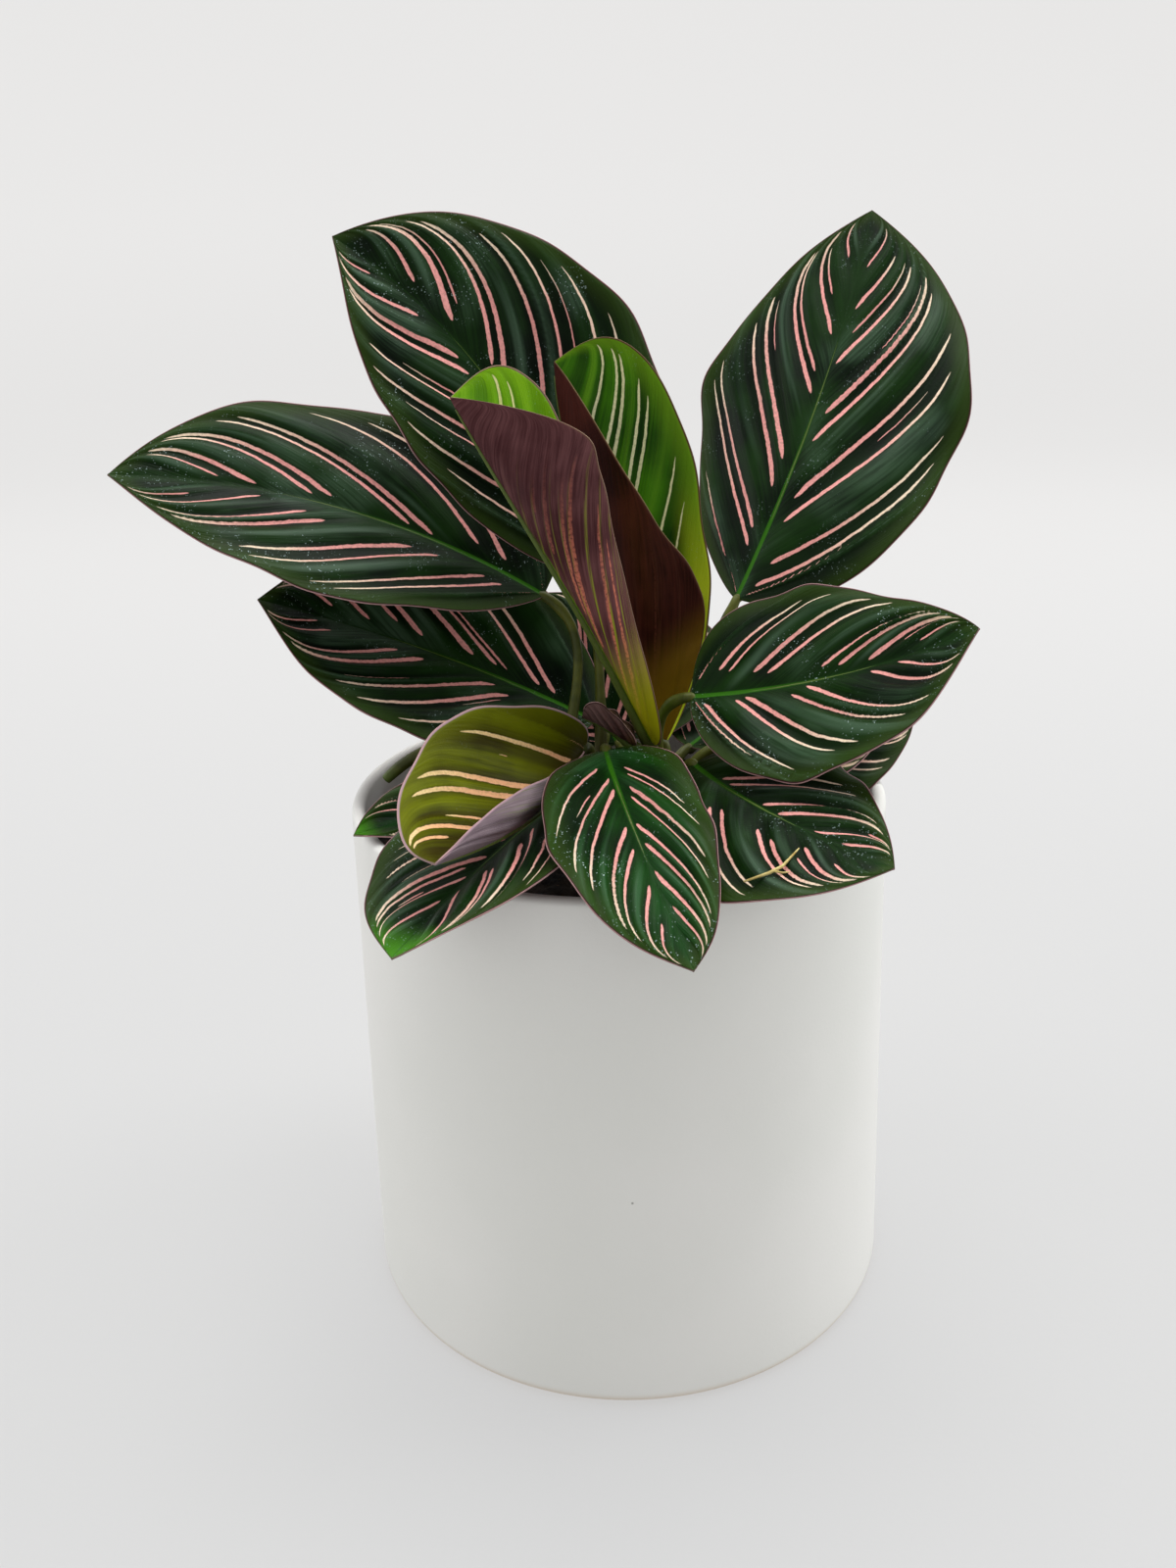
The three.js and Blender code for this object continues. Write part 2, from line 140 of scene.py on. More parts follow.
# Rolled leaves. The rib runs through its points. From it the near and far half bow out by belly and
# end at margin, both given at the blade's base, middle and tip.
ROLLED_LEAVES = {
    "rolled_leaf_front": dict(
        root=(6, -6),
        rib=[(8, -10, 140), (-6, -19, 172), (-21, -26, 201), (-33, -30, 224)],
        left=dict(
            margin=[(9, -5, -4), (13, -7, 12), (46, -9, -2)],
            belly=[(2, -10, 2), (4, -12, 2), (8, -7, 2)], base=0.46, tip=0.62,
        ),
        right=dict(
            margin=[(2, 7, 6), (9, 14, 12), (15, 17, 19)],
            belly=[(-3, 9, 0), (-2, 11, 2), (4, 11, 4)], base=0.6, tip=0.5,
        ),
    ),
    "rolled_leaf_back": dict(
        root=(8, 2),
        rib=[(12, 3, 135), (3, 5, 165), (-7, 6, 198), (-12, 6, 228)],
        left=dict(
            margin=[(27, 0, 34), (16, -11, 6), (15, -12, 0)],
            belly=[(2, -7, 0), (0, -9, 0), (0, -8, 0)], base=0.9, tip=0.95,
        ),
        right=dict(
            margin=[(14, 14, 6), (26, 8, 2), (30, 7, 26)],
            belly=[(3, 9, 0), (6, 9, 0), (10, 9, 2)], base=0.6, tip=0.55,
        ),
    ),
    "dry_sheath": dict(
        root=(8, -12),
        rib=[(4, -14, 141), (1, -15, 144), (-3, -16, 147), (-8, -16, 149)],
        left=dict(
            margin=[(2, -6, 3), (-1, -3, 6), (0, -3, 6)],
            belly=[(0, -4, 0), (-1, -5, 1), (0, -5, 1)], base=0.5, tip=0.4,
        ),
        right=dict(
            margin=[(2, 6, 1), (1, 6, 2), (0, 6, 2)],
            belly=[(0, 1, 0), (0, 2, 0), (0, 2, 0)], base=0.5, tip=0.4,
        ),
    ),
    "young_leaf_left": dict(
        root=(-6, -10),
        rib=[(-8, -11, 139), (-17, -36, 136), (-27, -57, 137), (-37, -75, 140)],
        left=dict(
            margin=[(1, -6, 2), (-1, -1, 7), (1, -3, 4)],
            belly=[(1, -4, 0), (3, -4, 4), (3, -3, 2)], base=0.5, tip=0.58,
        ),
        right=dict(
            margin=[(7, 13, 12), (-13, 10, 21), (-17, 3, 3)],
            belly=[(-2, 12, 4), (-8, 10, 2), (-8, 6, 2)], base=0.5, tip=0.5,
        ),
    ),
}

CUT_STEM = dict(root=(-18, 0), over=[(-21, 0, 144), (-44, 0, 142)], end=(-57, 0, 129), radius=1.5)

# Stripes on each half, as read off the leaf: where a stripe's vein leaves the rib (0 at the base, 1 at
# the tip, below 0 for veins that fan out of the base itself), taken as running straight from there,
# where the stripe starts and ends on the way to the margin, and its widest width in millimetres. The
# small and the hidden leaves have the usual ones.
USUAL = [
    (0.04, 0.3, 0.9, 1.2), (0.08, 0.25, 0.9, 1.3), (0.17, 0.18, 0.9, 1.4), (0.21, 0.15, 0.88, 1.4),
    (0.38, 0.12, 0.88, 1.4), (0.44, 0.12, 0.87, 1.3), (0.58, 0.12, 0.85, 1.2), (0.64, 0.2, 0.8, 0.8),
    (0.78, 0.2, 0.75, 0.9),
]
STRIPES = {
    ("leaf_upper_right", "left"): [
        (-0.2, 0.6, 0.96, 0.8), (0.08, 0.19, 0.94, 1.3), (0.11, 0.19, 0.92, 1.4), (0.21, 0.12, 0.88, 1.5),
        (0.28, 0.11, 0.87, 1.5), (0.33, 0.5, 0.75, 0.5), (0.48, 0.07, 0.85, 1.4), (0.53, 0.1, 0.8, 1.1),
        (0.68, 0.07, 0.85, 1.2), (0.73, 0.2, 0.6, 0.7), (0.86, 0.2, 0.7, 0.8),
    ],
    ("leaf_upper_right", "right"): [
        (0.02, 0.22, 0.91, 1.4), (0.06, 0.21, 0.89, 1.4), (0.15, 0.12, 0.86, 1.6), (0.175, 0.5, 0.72, 0.4),
        (0.2, 0.11, 0.87, 1.6), (0.36, 0.07, 0.79, 1.6), (0.42, 0.09, 0.8, 1.6), (0.47, 0.35, 0.7, 0.5),
        (0.6, 0.04, 0.66, 1.5), (0.66, 0.1, 0.6, 0.7), (0.75, 0.07, 0.5, 1.2), (0.86, 0.1, 0.6, 0.7),
    ],
    ("leaf_upper_left", "left"): [
        (0.04, 0.25, 0.85, 1.1), (0.095, 0.2, 0.9, 1.3), (0.165, 0.2, 0.8, 0.7), (0.195, 0.15, 0.9, 1.2),
        (0.28, 0.1, 0.92, 1.4), (0.33, 0.3, 0.6, 0.5), (0.5, 0.12, 0.92, 1.5), (0.57, 0.1, 0.9, 1.5),
        (0.73, 0.12, 0.85, 1.2), (0.87, 0.2, 0.7, 0.7),
    ],
    ("leaf_upper_left", "right"): [
        (-0.1, 0.68, 0.8, 0.5), (0.07, 0.35, 0.88, 1.6), (0.125, 0.3, 0.9, 1.5), (0.17, 0.5, 0.85, 0.5),
        (0.2, 0.3, 0.92, 1.2), (0.275, 0.18, 0.92, 1.5), (0.445, 0.1, 0.92, 1.6), (0.5, 0.08, 0.88, 1.4),
        (0.63, 0.2, 0.85, 0.6), (0.68, 0.08, 0.88, 1.9), (0.8, 0.12, 0.7, 1.3),
    ],
    ("leaf_left", "left"): [
        (0.045, 0.3, 0.92, 1.2), (0.08, 0.25, 0.9, 1.2), (0.165, 0.2, 0.9, 1.6), (0.21, 0.2, 0.88, 1.6),
        (0.42, 0.2, 0.88, 1.6), (0.5, 0.15, 0.85, 1.3), (0.67, 0.1, 0.8, 1.2), (0.77, 0.3, 0.8, 0.5),
    ],
    ("leaf_left", "right"): [
        (-0.35, 0.5, 0.7, 0.5), (0.08, 0.15, 0.88, 1.8), (0.13, 0.15, 0.9, 1.6), (0.265, 0.04, 0.94, 1.7),
        (0.315, 0.05, 0.92, 1.6), (0.49, 0.08, 0.88, 1.7), (0.555, 0.06, 0.8, 1.4), (0.72, 0.05, 0.7, 1.6),
        (0.79, 0.08, 0.6, 0.8),
    ],
    ("leaf_lower_left", "left"): [
        (0.04, 0.5, 0.8, 0.7), (0.09, 0.3, 0.9, 1), (0.15, 0.3, 0.5, 0.4), (0.17, 0.2, 0.88, 1.4),
        (0.24, 0.12, 0.88, 1.6), (0.31, 0.4, 0.7, 0.4), (0.46, 0.12, 0.92, 1.6), (0.555, 0.12, 0.88, 1.5),
        (0.76, 0.2, 0.85, 1), (0.84, 0.12, 0.75, 0.6),
    ],
    ("leaf_lower_left", "right"): [
        (0.11, 0.1, 0.9, 1.5), (0.15, 0.1, 0.9, 1.4), (0.23, 0.1, 0.9, 0.7), (0.265, 0.1, 0.9, 1.4),
        (0.34, 0.1, 0.9, 1.6), (0.385, 0.35, 0.9, 1), (0.5, 0.1, 0.9, 1.5), (0.57, 0.15, 0.9, 1.4),
        (0.7, 0.1, 0.9, 1.3), (0.8, 0.15, 0.8, 1),
    ],
    ("leaf_right", "left"): [
        (0.045, 0.3, 0.85, 1.3), (0.075, 0.25, 0.9, 1), (0.15, 0.18, 0.9, 1.5), (0.195, 0.15, 0.9, 1.5),
        (0.4, 0.12, 0.87, 1.4), (0.475, 0.1, 0.87, 1.4), (0.62, 0.08, 0.8, 1.4), (0.69, 0.25, 0.8, 1),
        (0.78, 0.2, 0.7, 0.8),
    ],
    ("leaf_right", "right"): [
        (-0.04, 0.28, 0.8, 1.3), (0.03, 0.22, 0.88, 1.3), (0.125, 0.12, 0.82, 1.5),
        (0.165, 0.08, 0.82, 1.6), (0.29, 0.12, 0.8, 1.2), (0.385, 0.05, 0.82, 1.6), (0.64, 0.06, 0.75, 1.3),
        (0.76, 0.05, 0.7, 1.1),
    ],
    ("leaf_front_right", "left"): [
        (0.18, 0.06, 0.8, 1.6), (0.235, 0.05, 0.85, 1.6), (0.44, 0.04, 0.8, 1.6), (0.54, 0.03, 0.85, 1.6),
        (0.72, 0.5, 0.8, 0.5), (0.75, 0.04, 0.8, 1.5), (0.85, 0.05, 0.7, 1.1),
    ],
    ("leaf_front_right", "right"): [
        (0.12, 0.3, 0.95, 1.2), (0.2, 0.25, 0.95, 1.5), (0.255, 0.2, 0.95, 1.5), (0.45, 0.2, 0.95, 1.6),
        (0.51, 0.25, 0.92, 1.5), (0.62, 0.35, 0.9, 1), (0.69, 0.2, 0.88, 1.4), (0.8, 0.3, 0.85, 1),
    ],
    ("leaf_front", "left"): [
        (0.105, 0.2, 0.75, 0.9), (0.135, 0.2, 0.82, 1), (0.21, 0.15, 0.88, 1.2), (0.275, 0.12, 0.9, 1.2),
        (0.45, 0.05, 0.85, 1.5), (0.545, 0.06, 0.87, 1.4), (0.71, 0.04, 0.82, 1.6), (0.82, 0.1, 0.8, 1),
    ],
    ("leaf_front", "right"): [
        (0.09, 0.28, 0.88, 1.1), (0.15, 0.4, 0.6, 0.5), (0.18, 0.1, 0.87, 1.5), (0.255, 0.06, 0.87, 1.6),
        (0.445, 0.08, 0.82, 1.6), (0.545, 0.1, 0.87, 1.4), (0.73, 0.1, 0.87, 1.2), (0.84, 0.2, 0.8, 1),
    ],
    ("leaf_front_left", "left"): [
        (0.185, 0.5, 0.95, 0.8), (0.22, 0.4, 0.95, 1), (0.31, 0.15, 0.9, 1.6), (0.375, 0.2, 0.92, 1.4),
        (0.54, 0.2, 0.88, 1.3), (0.585, 0.15, 0.92, 1.2), (0.77, 0.05, 0.85, 1.1),
    ],
    ("leaf_front_left", "right"): [
        (0.16, 0.5, 0.85, 0.7), (0.21, 0.3, 0.92, 1.4), (0.27, 0.2, 0.92, 1.4), (0.37, 0.05, 0.5, 1.1),
        (0.43, 0.04, 0.6, 1.4), (0.56, 0.03, 0.92, 1.6), (0.61, 0.1, 0.93, 1.1), (0.66, 0.3, 0.5, 0.5),
        (0.71, 0.03, 0.92, 1.5), (0.82, 0.05, 0.78, 1.2),
    ],
    ("leaf_small_left", "left"): [
        (0.06, 0.3, 0.85, 0.6), (0.2, 0.25, 0.88, 0.8), (0.42, 0.2, 0.85, 0.9), (0.5, 0.3, 0.8, 0.6),
    ],
    ("leaf_small_left", "right"): [
        (0.08, 0.3, 0.9, 0.8), (0.14, 0.25, 0.88, 0.7), (0.34, 0.2, 0.86, 0.9), (0.42, 0.3, 0.84, 0.7),
        (0.62, 0.2, 0.8, 0.7),
    ],
    ("young_leaf_left", "left"): [
        (0.2, 0.2, 0.8, 0.8), (0.5, 0.2, 0.8, 0.8),
    ],
    ("young_leaf_left", "right"): [
        (0.07, 0.2, 0.95, 1.9), (0.12, 0.62, 0.66, 0.8), (0.2, 0.25, 0.92, 2), (0.275, 0.25, 0.95, 2),
        (0.5, 0.25, 0.5, 1.2), (0.62, 0.15, 0.88, 1.8), (0.75, 0.3, 0.8, 1.2),
    ],
    ("rolled_leaf_back", "left"): [
        (0.1, 0.2, 0.9, 0.8), (0.5, 0.2, 0.9, 0.8),
    ],
    ("rolled_leaf_back", "right"): [
        (0.12, 0.2, 0.9, 1.1), (0.17, 0.2, 0.9, 1.3), (0.3, 0.15, 0.9, 1.5), (0.36, 0.15, 0.92, 1.5),
        (0.5, 0.1, 0.9, 1.5), (0.57, 0.1, 0.9, 1.4), (0.72, 0.15, 0.85, 1.1),
    ],
    ("rolled_leaf_front", "left"): [
        (0.05, 0.2, 0.9, 1.1), (0.1, 0.15, 0.9, 1.4), (0.22, 0.1, 0.95, 1.6), (0.28, 0.15, 0.9, 1.5),
        (0.42, 0.2, 0.9, 1.2), (0.52, 0.25, 0.8, 1), (0.62, 0.3, 0.7, 0.8),
    ],
    ("rolled_leaf_front", "right"): [
        (0.2, 0.2, 0.8, 1.1), (0.45, 0.3, 0.85, 1.4), (0.62, 0.3, 0.85, 1.5),
    ],
}

# Colours, as sRGB values from 0 to 255
PINK = (250, 172, 166)
CREAM = (255, 232, 204)
# In each palette the crest colour is a painted sheen. The deep colour is painted shade in the grooves, and
# on the young leaf also its own darker middle. The pale margin colour is a painted highlight.
DARK_LEAF = dict(
    upper=(3, 16, 4), upper_light=(20, 50, 10), deep_and_shade=(1, 7, 2), crest=(82, 108, 86),
    rib=(52, 112, 16), edge=(50, 72, 18), margin=(60, 30, 34), margin_highlight=(200, 160, 158),
    stripe_in=PINK, stripe_out=CREAM, tip=(66, 136, 10), under=(66, 34, 40),
    under_light=(96, 66, 62), under_stripe=(120, 70, 66), under_line=(96, 66, 62),
    under_base=(96, 70, 40),
)
PALETTES = {
    "dark": DARK_LEAF,
    "green": dict(
        DARK_LEAF, upper=(3, 26, 4), upper_light=(14, 62, 6), deep_and_shade=(1, 11, 2), crest=(62, 104, 66),
    ),
    "rolled_front": dict(
        DARK_LEAF, upper=(84, 140, 2), upper_light=(128, 186, 6), deep_and_shade=(62, 112, 2),
        crest=(150, 204, 34), rib=(96, 150, 8), edge=(128, 178, 12), margin=(96, 66, 56),
        margin_highlight=(168, 140, 118), stripe_in=(236, 230, 150), stripe_out=(248, 240, 176),
        under=(62, 28, 31), under_light=(120, 78, 79), under_stripe=(218, 128, 104),
        under_line=(146, 156, 44), under_base=(196, 196, 24),
    ),
    "rolled_back": dict(
        DARK_LEAF, upper=(20, 60, 3), upper_light=(66, 124, 8), deep_and_shade=(7, 36, 2),
        crest=(112, 166, 30), rib=(100, 160, 20), edge=(120, 166, 24), margin=(76, 44, 30),
        margin_highlight=(136, 116, 84), stripe_in=(240, 232, 190), stripe_out=(248, 240, 190),
        under=(34, 10, 8), under_light=(78, 34, 26), under_stripe=(84, 40, 32), under_line=(70, 34, 26),
        under_base=(150, 116, 20), lime=(186, 200, 36),
    ),
    "young": dict(
        DARK_LEAF, upper=(54, 56, 1), upper_light=(106, 114, 2), deep_and_shade=(48, 38, 3),
        crest=(128, 138, 8), rib=(110, 116, 20), edge=(116, 124, 10), margin=(176, 146, 156),
        stripe_in=(246, 186, 140), stripe_out=(252, 220, 160), under=(108, 92, 100),
        under_light=(152, 138, 142), under_stripe=(110, 120, 60), under_line=(110, 120, 60),
        under_base=(130, 142, 70),
    ),
    "dry": dict(
        DARK_LEAF, upper=(60, 36, 32), upper_light=(98, 68, 58), deep_and_shade=(40, 22, 20),
        crest=(112, 86, 72), rib=(84, 56, 46), edge=(80, 62, 40), margin=(54, 32, 28),
        tip=(160, 172, 110), under=(54, 34, 34), under_light=(112, 86, 82), under_stripe=(84, 54, 50),
        under_line=(84, 54, 50),
    ),
}

# What sets a leaf's look apart from the usual one. wave is how far its margin waves in mm, with count
# waves along it; relief is how high its veins stand; flecks is how much dried water it carries; slim
# narrows its wider stripes, and stripe_end is how far out those beyond its base go.
USUAL_LOOK = dict(wave=0.8, count=2.0, flecks=0.3)
LOOKS = {
    "leaf_upper_left": dict(wave=1.2, count=2.2, flecks=0.5),
    "leaf_left": dict(wave=1.0, count=2.6, flecks=0.7, slim=0.88),
    "leaf_lower_left": dict(wave=1.0, count=2.4, flecks=0.35),
    "leaf_upper_right": dict(wave=1.4, count=2.3, flecks=0.35),
    "leaf_right": dict(wave=1.0, flecks=0.9, slim=0.88),
    "leaf_front_right": dict(count=2.2, flecks=0.5, slim=0.76, stripe_end=0.8),
    "leaf_front": dict(count=2.4, flecks=1.0, palette="green", slim=0.76, stripe_end=0.8),
    "leaf_front_left": dict(count=2.2, flecks=0.6, tip=0.8, slim=0.76, stripe_end=0.8),
    "leaf_small_left": dict(wave=0.5, tip=0.9, palette="green"),
    "leaf_under_right": dict(wave=0.4, count=1.6, flecks=0.2),
    "leaf_back_right": dict(wave=0.6),
    "leaf_back_left": dict(wave=0.6, flecks=0.2),
    "rolled_leaf_front": dict(
        wave=0.4, flecks=0.1, palette="rolled_front", relief=0.35, lit_rib=1.3, stripe_end=0.87,
    ),
    "rolled_leaf_back": dict(
        wave=0.4, flecks=0.1, palette="rolled_back", relief=0.35, lime=9, stripe_end=0.87,
    ),
    "young_leaf_left": dict(
        wave=0.3, flecks=0.1, palette="young", relief=0.35, middle=16, stripe_end=0.87,
    ),
    "dry_sheath": dict(wave=0.5, count=3.0, flecks=0.0, palette="dry", relief=0.8, tip=0.9),
}

# The veins: each leaves the rib at its start and reaches the margin nearer the tip. Those from the
# rib's base turn toward the tip late, the others at once. The first meets the margin at VEIN["end"].
# Those that leave it beyond VEIN["lean_from"] lie closer and closer along it.
VEIN = {
    "end": 0.48, "run": 4.0, "early": 0.12, "early_gain": 4.0, "late_power": 3.3,
    "lean": 0.56, "lean_from": 0.45, "lean_over": 0.35,
}


def unit(vectors):
    length = np.linalg.norm(vectors, axis=-1, keepdims=True)
    return vectors / np.maximum(length, 1e-9)


# Half the blade's width at x along the rib, as a share of its widest. The margins run straight to the
# tip at the end, by point times the distance left.
def outline(x, base, tip, point):
    widest = base / (base + tip)
    body = (x / widest) ** base * ((1 - x) / (1 - widest)) ** tip
    straight = point * (1 - x)
    larger = np.maximum(np.maximum(body, straight), 1e-9)
    smaller = np.minimum(body, straight)
    return smaller / (1 + (smaller / larger) ** 5) ** (1 / 5)


# The curve through evenly spaced points, at x from 0 to 1
def through(points, x):
    last = len(points) - 1
    total = np.zeros(np.shape(x) + (3,))
    for i, point in enumerate(points):
        weight = np.ones_like(x)
        for j in range(last + 1):
            if j != i:
                weight = weight * (x * last - j) / (i - j)
        total += weight[..., None] * np.array(point, float)
    return total


# The points of an open leaf at x along the rib and v across it, v being positive on its left half
def open_surface(leaf, x, v):
    steps = 40

    def heading(at):
        return np.radians(leaf["heading"] + leaf["turn"] * at)

    def rise(at):
        return np.radians(leaf["rise"] - leaf["droop"] * at)

    def along(at):
        level = np.cos(rise(at))
        return np.stack([level * np.cos(heading(at)), level * np.sin(heading(at)), np.sin(rise(at))], -1)

    middles = (np.arange(steps) + 0.5) / steps
    ribs = np.vstack([np.zeros(3), np.cumsum(along(middles) * leaf["length"] / steps, axis=0)])
    ribs += np.array(leaf["base"], float)
    stations = np.linspace(0, 1, steps + 1)
    rib = np.stack([np.interp(x, stations, ribs[:, k]) for k in range(3)], -1)
    tangent = along(x)
    level = np.stack([-np.sin(heading(x)), np.cos(heading(x)), np.zeros_like(x)], -1)
    normal = np.cross(tangent, level)
    roll = np.radians(leaf["roll"] + leaf["twist"] * x)[..., None]
    level, normal = (
        level * np.cos(roll) + normal * np.sin(roll),
        normal * np.cos(roll) - level * np.sin(roll),
    )
    t = np.abs(v)
    out = np.zeros_like(x)
    up = np.zeros_like(x)
    point = leaf.get("point", POINT["open"])
    for side, name in ((v >= 0, "left"), (v < 0, "right")):
        shape = leaf[name]
        width = shape["width"] * outline(x, shape["base"], shape["tip"], point)
        fold = math.radians(shape["fold"])
        curl = math.radians(shape["curl"])
        out = np.where(side, width * (np.sin(fold + curl * t) - math.sin(fold)) / curl, out)
        up = np.where(side, width * (math.cos(fold) - np.cos(fold + curl * t)) / curl, up)
    return rib + level * (np.sign(v) * out)[..., None] + normal * up[..., None]


def rolled_surface(leaf, x, v):
    t = np.abs(v)
    points = through(leaf["rib"], x)
    for side, name in ((v >= 0, "left"), (v < 0, "right")):
        shape = leaf[name]
        width = np.where(side, outline(x, shape["base"], shape["tip"], POINT["rolled"]), 0)
        bow = width * t * (1 - t)
        points += through(shape["belly"], x) * (bow * 2 * width)[..., None]
        points += through(shape["margin"], x) * (width * t * t + bow * (1 - width))[..., None]
    return points


# Where the vein that leaves the rib at origin reaches the margin
def reach_of(origin):
    return 1 - (1 - VEIN["end"]) * (1 - origin) ** VEIN["run"]


# How a vein nears that place on its way out: as t to this power
def lean_of(origin):
    leaning = np.clip((origin - VEIN["lean_from"]) / VEIN["lean_over"], 0, 1)
    return 1 - VEIN["lean"] * leaning**2 * (3 - 2 * leaning)


# Where the vein through (x, v) leaves the rib
def vein_at(x, v):
    starts = np.linspace(-1, 1, 401)
    origin = np.maximum(starts, 0)
    reach = np.where(starts < 0, VEIN["end"] * (1 + starts), reach_of(origin))
    early = np.minimum(VEIN["early"] + VEIN["early_gain"] * origin, 1)
    power = lean_of(origin)
    veins = np.zeros_like(x)
    for j in range(x.shape[1]):
        t = abs(v[0, j])
        path = early * t**power + (1 - early) * t ** VEIN["late_power"]
        places = origin + (reach - origin) * path + starts * 1e-6
        veins[:, j] = np.interp(x[:, j], places, starts)
    return veins


# The start of the leaning vein that passes where a straight one from start would, at t
def leaned(start, t):
    if start <= VEIN["lean_from"]:
        return start
    starts = np.linspace(0, 1, 2001)
    places = starts + (reach_of(starts) - starts) * t ** lean_of(starts)
    return round(float(np.interp(start + (reach_of(start) - start) * t, places, starts)), 3)


# Millimetres across the veins for one unit of their start, from how the surface stretches
def vein_spacing(points, veins):
    along = np.gradient(points, axis=0)
    across = np.gradient(points, axis=1)
    e = (along * along).sum(-1)
    f = (along * across).sum(-1)
    g = (across * across).sum(-1)
    down = np.gradient(veins, axis=0)
    over = np.gradient(veins, axis=1)
    area = np.maximum(e * g - f * f, 1e-9)
    slope = (g * down**2 - 2 * f * down * over + e * over**2) / area
    return np.clip(1 / np.sqrt(np.maximum(slope, 1e-8)), 4, 160)


# Stripes up to this wide stay as they are read, and none goes out further than these shares
STRIPE = {"fine": 0.6, "near_base": 0.2, "near_base_end": 0.91, "end": 0.83}


def stripes_of(name, side):
    if (name, side) not in STRIPES:
        return USUAL
    look = LOOKS[name]
    stripes = []
    for vein, start, end, width in STRIPES[name, side]:
        furthest = STRIPE["near_base_end"]
        if vein > STRIPE["near_base"]:
            furthest = look.get("stripe_end", STRIPE["end"])
        if width > STRIPE["fine"]:
            width *= look.get("slim", 1)
        stripes.append((leaned(vein, (start + end) / 2), start, min(end, furthest), width))
    return stripes


# A height that is -1 in the groove under each pair of stripes and 1 on the crest between two pairs
def crests(veins, stripes):
    starts = sorted(stripe[0] for stripe in stripes)
    grooves = [starts[0]]
    for start in starts[1:]:
        if start - grooves[-1] < 0.07:
            grooves[-1] = (grooves[-1] + start) / 2
        else:
            grooves.append(start)
    grooves = [grooves[0] - 0.3] + grooves + [grooves[-1] + 0.12, 1.3]
    phase = np.interp(veins, grooves, np.arange(len(grooves)))
    return -np.cos(2 * np.pi * phase)


def mesh_object(name, vertices, faces, smooth=True):
    mesh = bpy.data.meshes.new(name)
    mesh.from_pydata([tuple(v) for v in np.asarray(vertices, float) * MM], [], faces)
    mesh.update()
    if smooth:
        mesh.polygons.foreach_set("use_smooth", [True] * len(mesh.polygons))
    made = bpy.data.objects.new(name, mesh)
    bpy.context.scene.collection.objects.link(made)
    return made


# Rings of vertices about the Z axis, one for each radius and height of a profile
def rings_of(profile, segments):
    angles = 2 * math.pi * np.arange(segments) / segments
    return [(r * math.cos(a), r * math.sin(a), z) for r, z in profile for a in angles]


# The faces between rings that follow each other
def ring_faces(rings, segments, start=0):
    faces = []
    for i in range(rings - 1):
        first = start + i * segments
        for k in range(segments):
            after = (k + 1) % segments
            faces.append((first + k, first + after, first + segments + after, first + segments + k))
    return faces


# The faces of a round sheet that shows its top: rings about vertex 0
def sheet_faces(rings, segments):
    fan = [(0, 1 + k, 1 + (k + 1) % segments) for k in range(segments)]
    return fan + [(a, d, c, b) for a, b, c, d in ring_faces(rings, segments, 1)]


def give(made, name, values):
    attribute = made.data.attributes.new(name, "FLOAT", "POINT")
    attribute.data.foreach_set("value", np.asarray(values, np.float32))


# A round tube along points, with its frame carried on without twist
def tube(points, radii, sides):
    points = np.asarray(points, float)
    tangents = unit(np.gradient(points, axis=0))
    across = unit(np.cross(tangents[0], (0.3, 0.9, 0.1)))
    vertices = []
    for point, tangent, radius in zip(points, tangents, radii):
        across = unit(across - tangent * np.dot(across, tangent))
        beside = np.cross(tangent, across)
        for k in range(sides):
            angle = 2 * math.pi * k / sides
            vertices.append(point + radius * (math.cos(angle) * across + math.sin(angle) * beside))
    faces = ring_faces(len(points), sides)
    faces.append(tuple(reversed(range(sides))))
    faces.append(tuple(range((len(points) - 1) * sides, len(points) * sides)))
    return vertices, faces


def bezier(controls, count):
    t = np.linspace(0, 1, count)[:, None]
    a, b, c, d = (np.array(point, float) for point in controls)
    return (1 - t) ** 3 * a + 3 * (1 - t) ** 2 * t * b + 3 * (1 - t) * t**2 * c + t**3 * d


BLADE = {"rows": 120, "columns": 64, "thickness": 0.5, "edge": 0.25, "relief": 0.75, "groove": 0.4}
RIB = {"sunk": 0.75, "taper": 0.85, "swelling": 0.28, "swelling_at": 5, "sides": 14}


# The directions square to a blade, held steady near its two ends
def blade_normals(leaf, surface, stations, x, v):
    steady = surface(leaf, np.clip(x, 0.01, 0.985), v)
    normal = unit(np.cross(np.gradient(steady, axis=0), np.gradient(steady, axis=1)))
    first, last = np.searchsorted(stations, (0.015, 0.98))
    normal[:first] = normal[first]
    normal[last:] = normal[last - 1]
    return normal


# The faces of a blade's top, underside and edge. Its rows at the two ends are single points.
def blade_faces(rows, columns):
    number = np.arange((rows + 1) * (columns + 1)).reshape(rows + 1, columns + 1)
    number[0] = number[0, columns // 2]
    number[-1] = number[-1, columns // 2]
    under = number + (rows + 1) * (columns + 1)
    faces = []

    def face(*corners):
        kept = [c for i, c in enumerate(corners) if c != corners[i - 1]]
        if len(kept) > 2:
            faces.append(tuple(kept))

    for i in range(rows):
        for j in range(columns):
            face(number[i, j], number[i + 1, j], number[i + 1, j + 1], number[i, j + 1])
            face(under[i, j], under[i, j + 1], under[i + 1, j + 1], under[i + 1, j])
        face(number[i, 0], under[i, 0], under[i + 1, 0], number[i + 1, 0])
        face(number[i, -1], number[i + 1, -1], under[i + 1, -1], under[i, -1])
    return faces


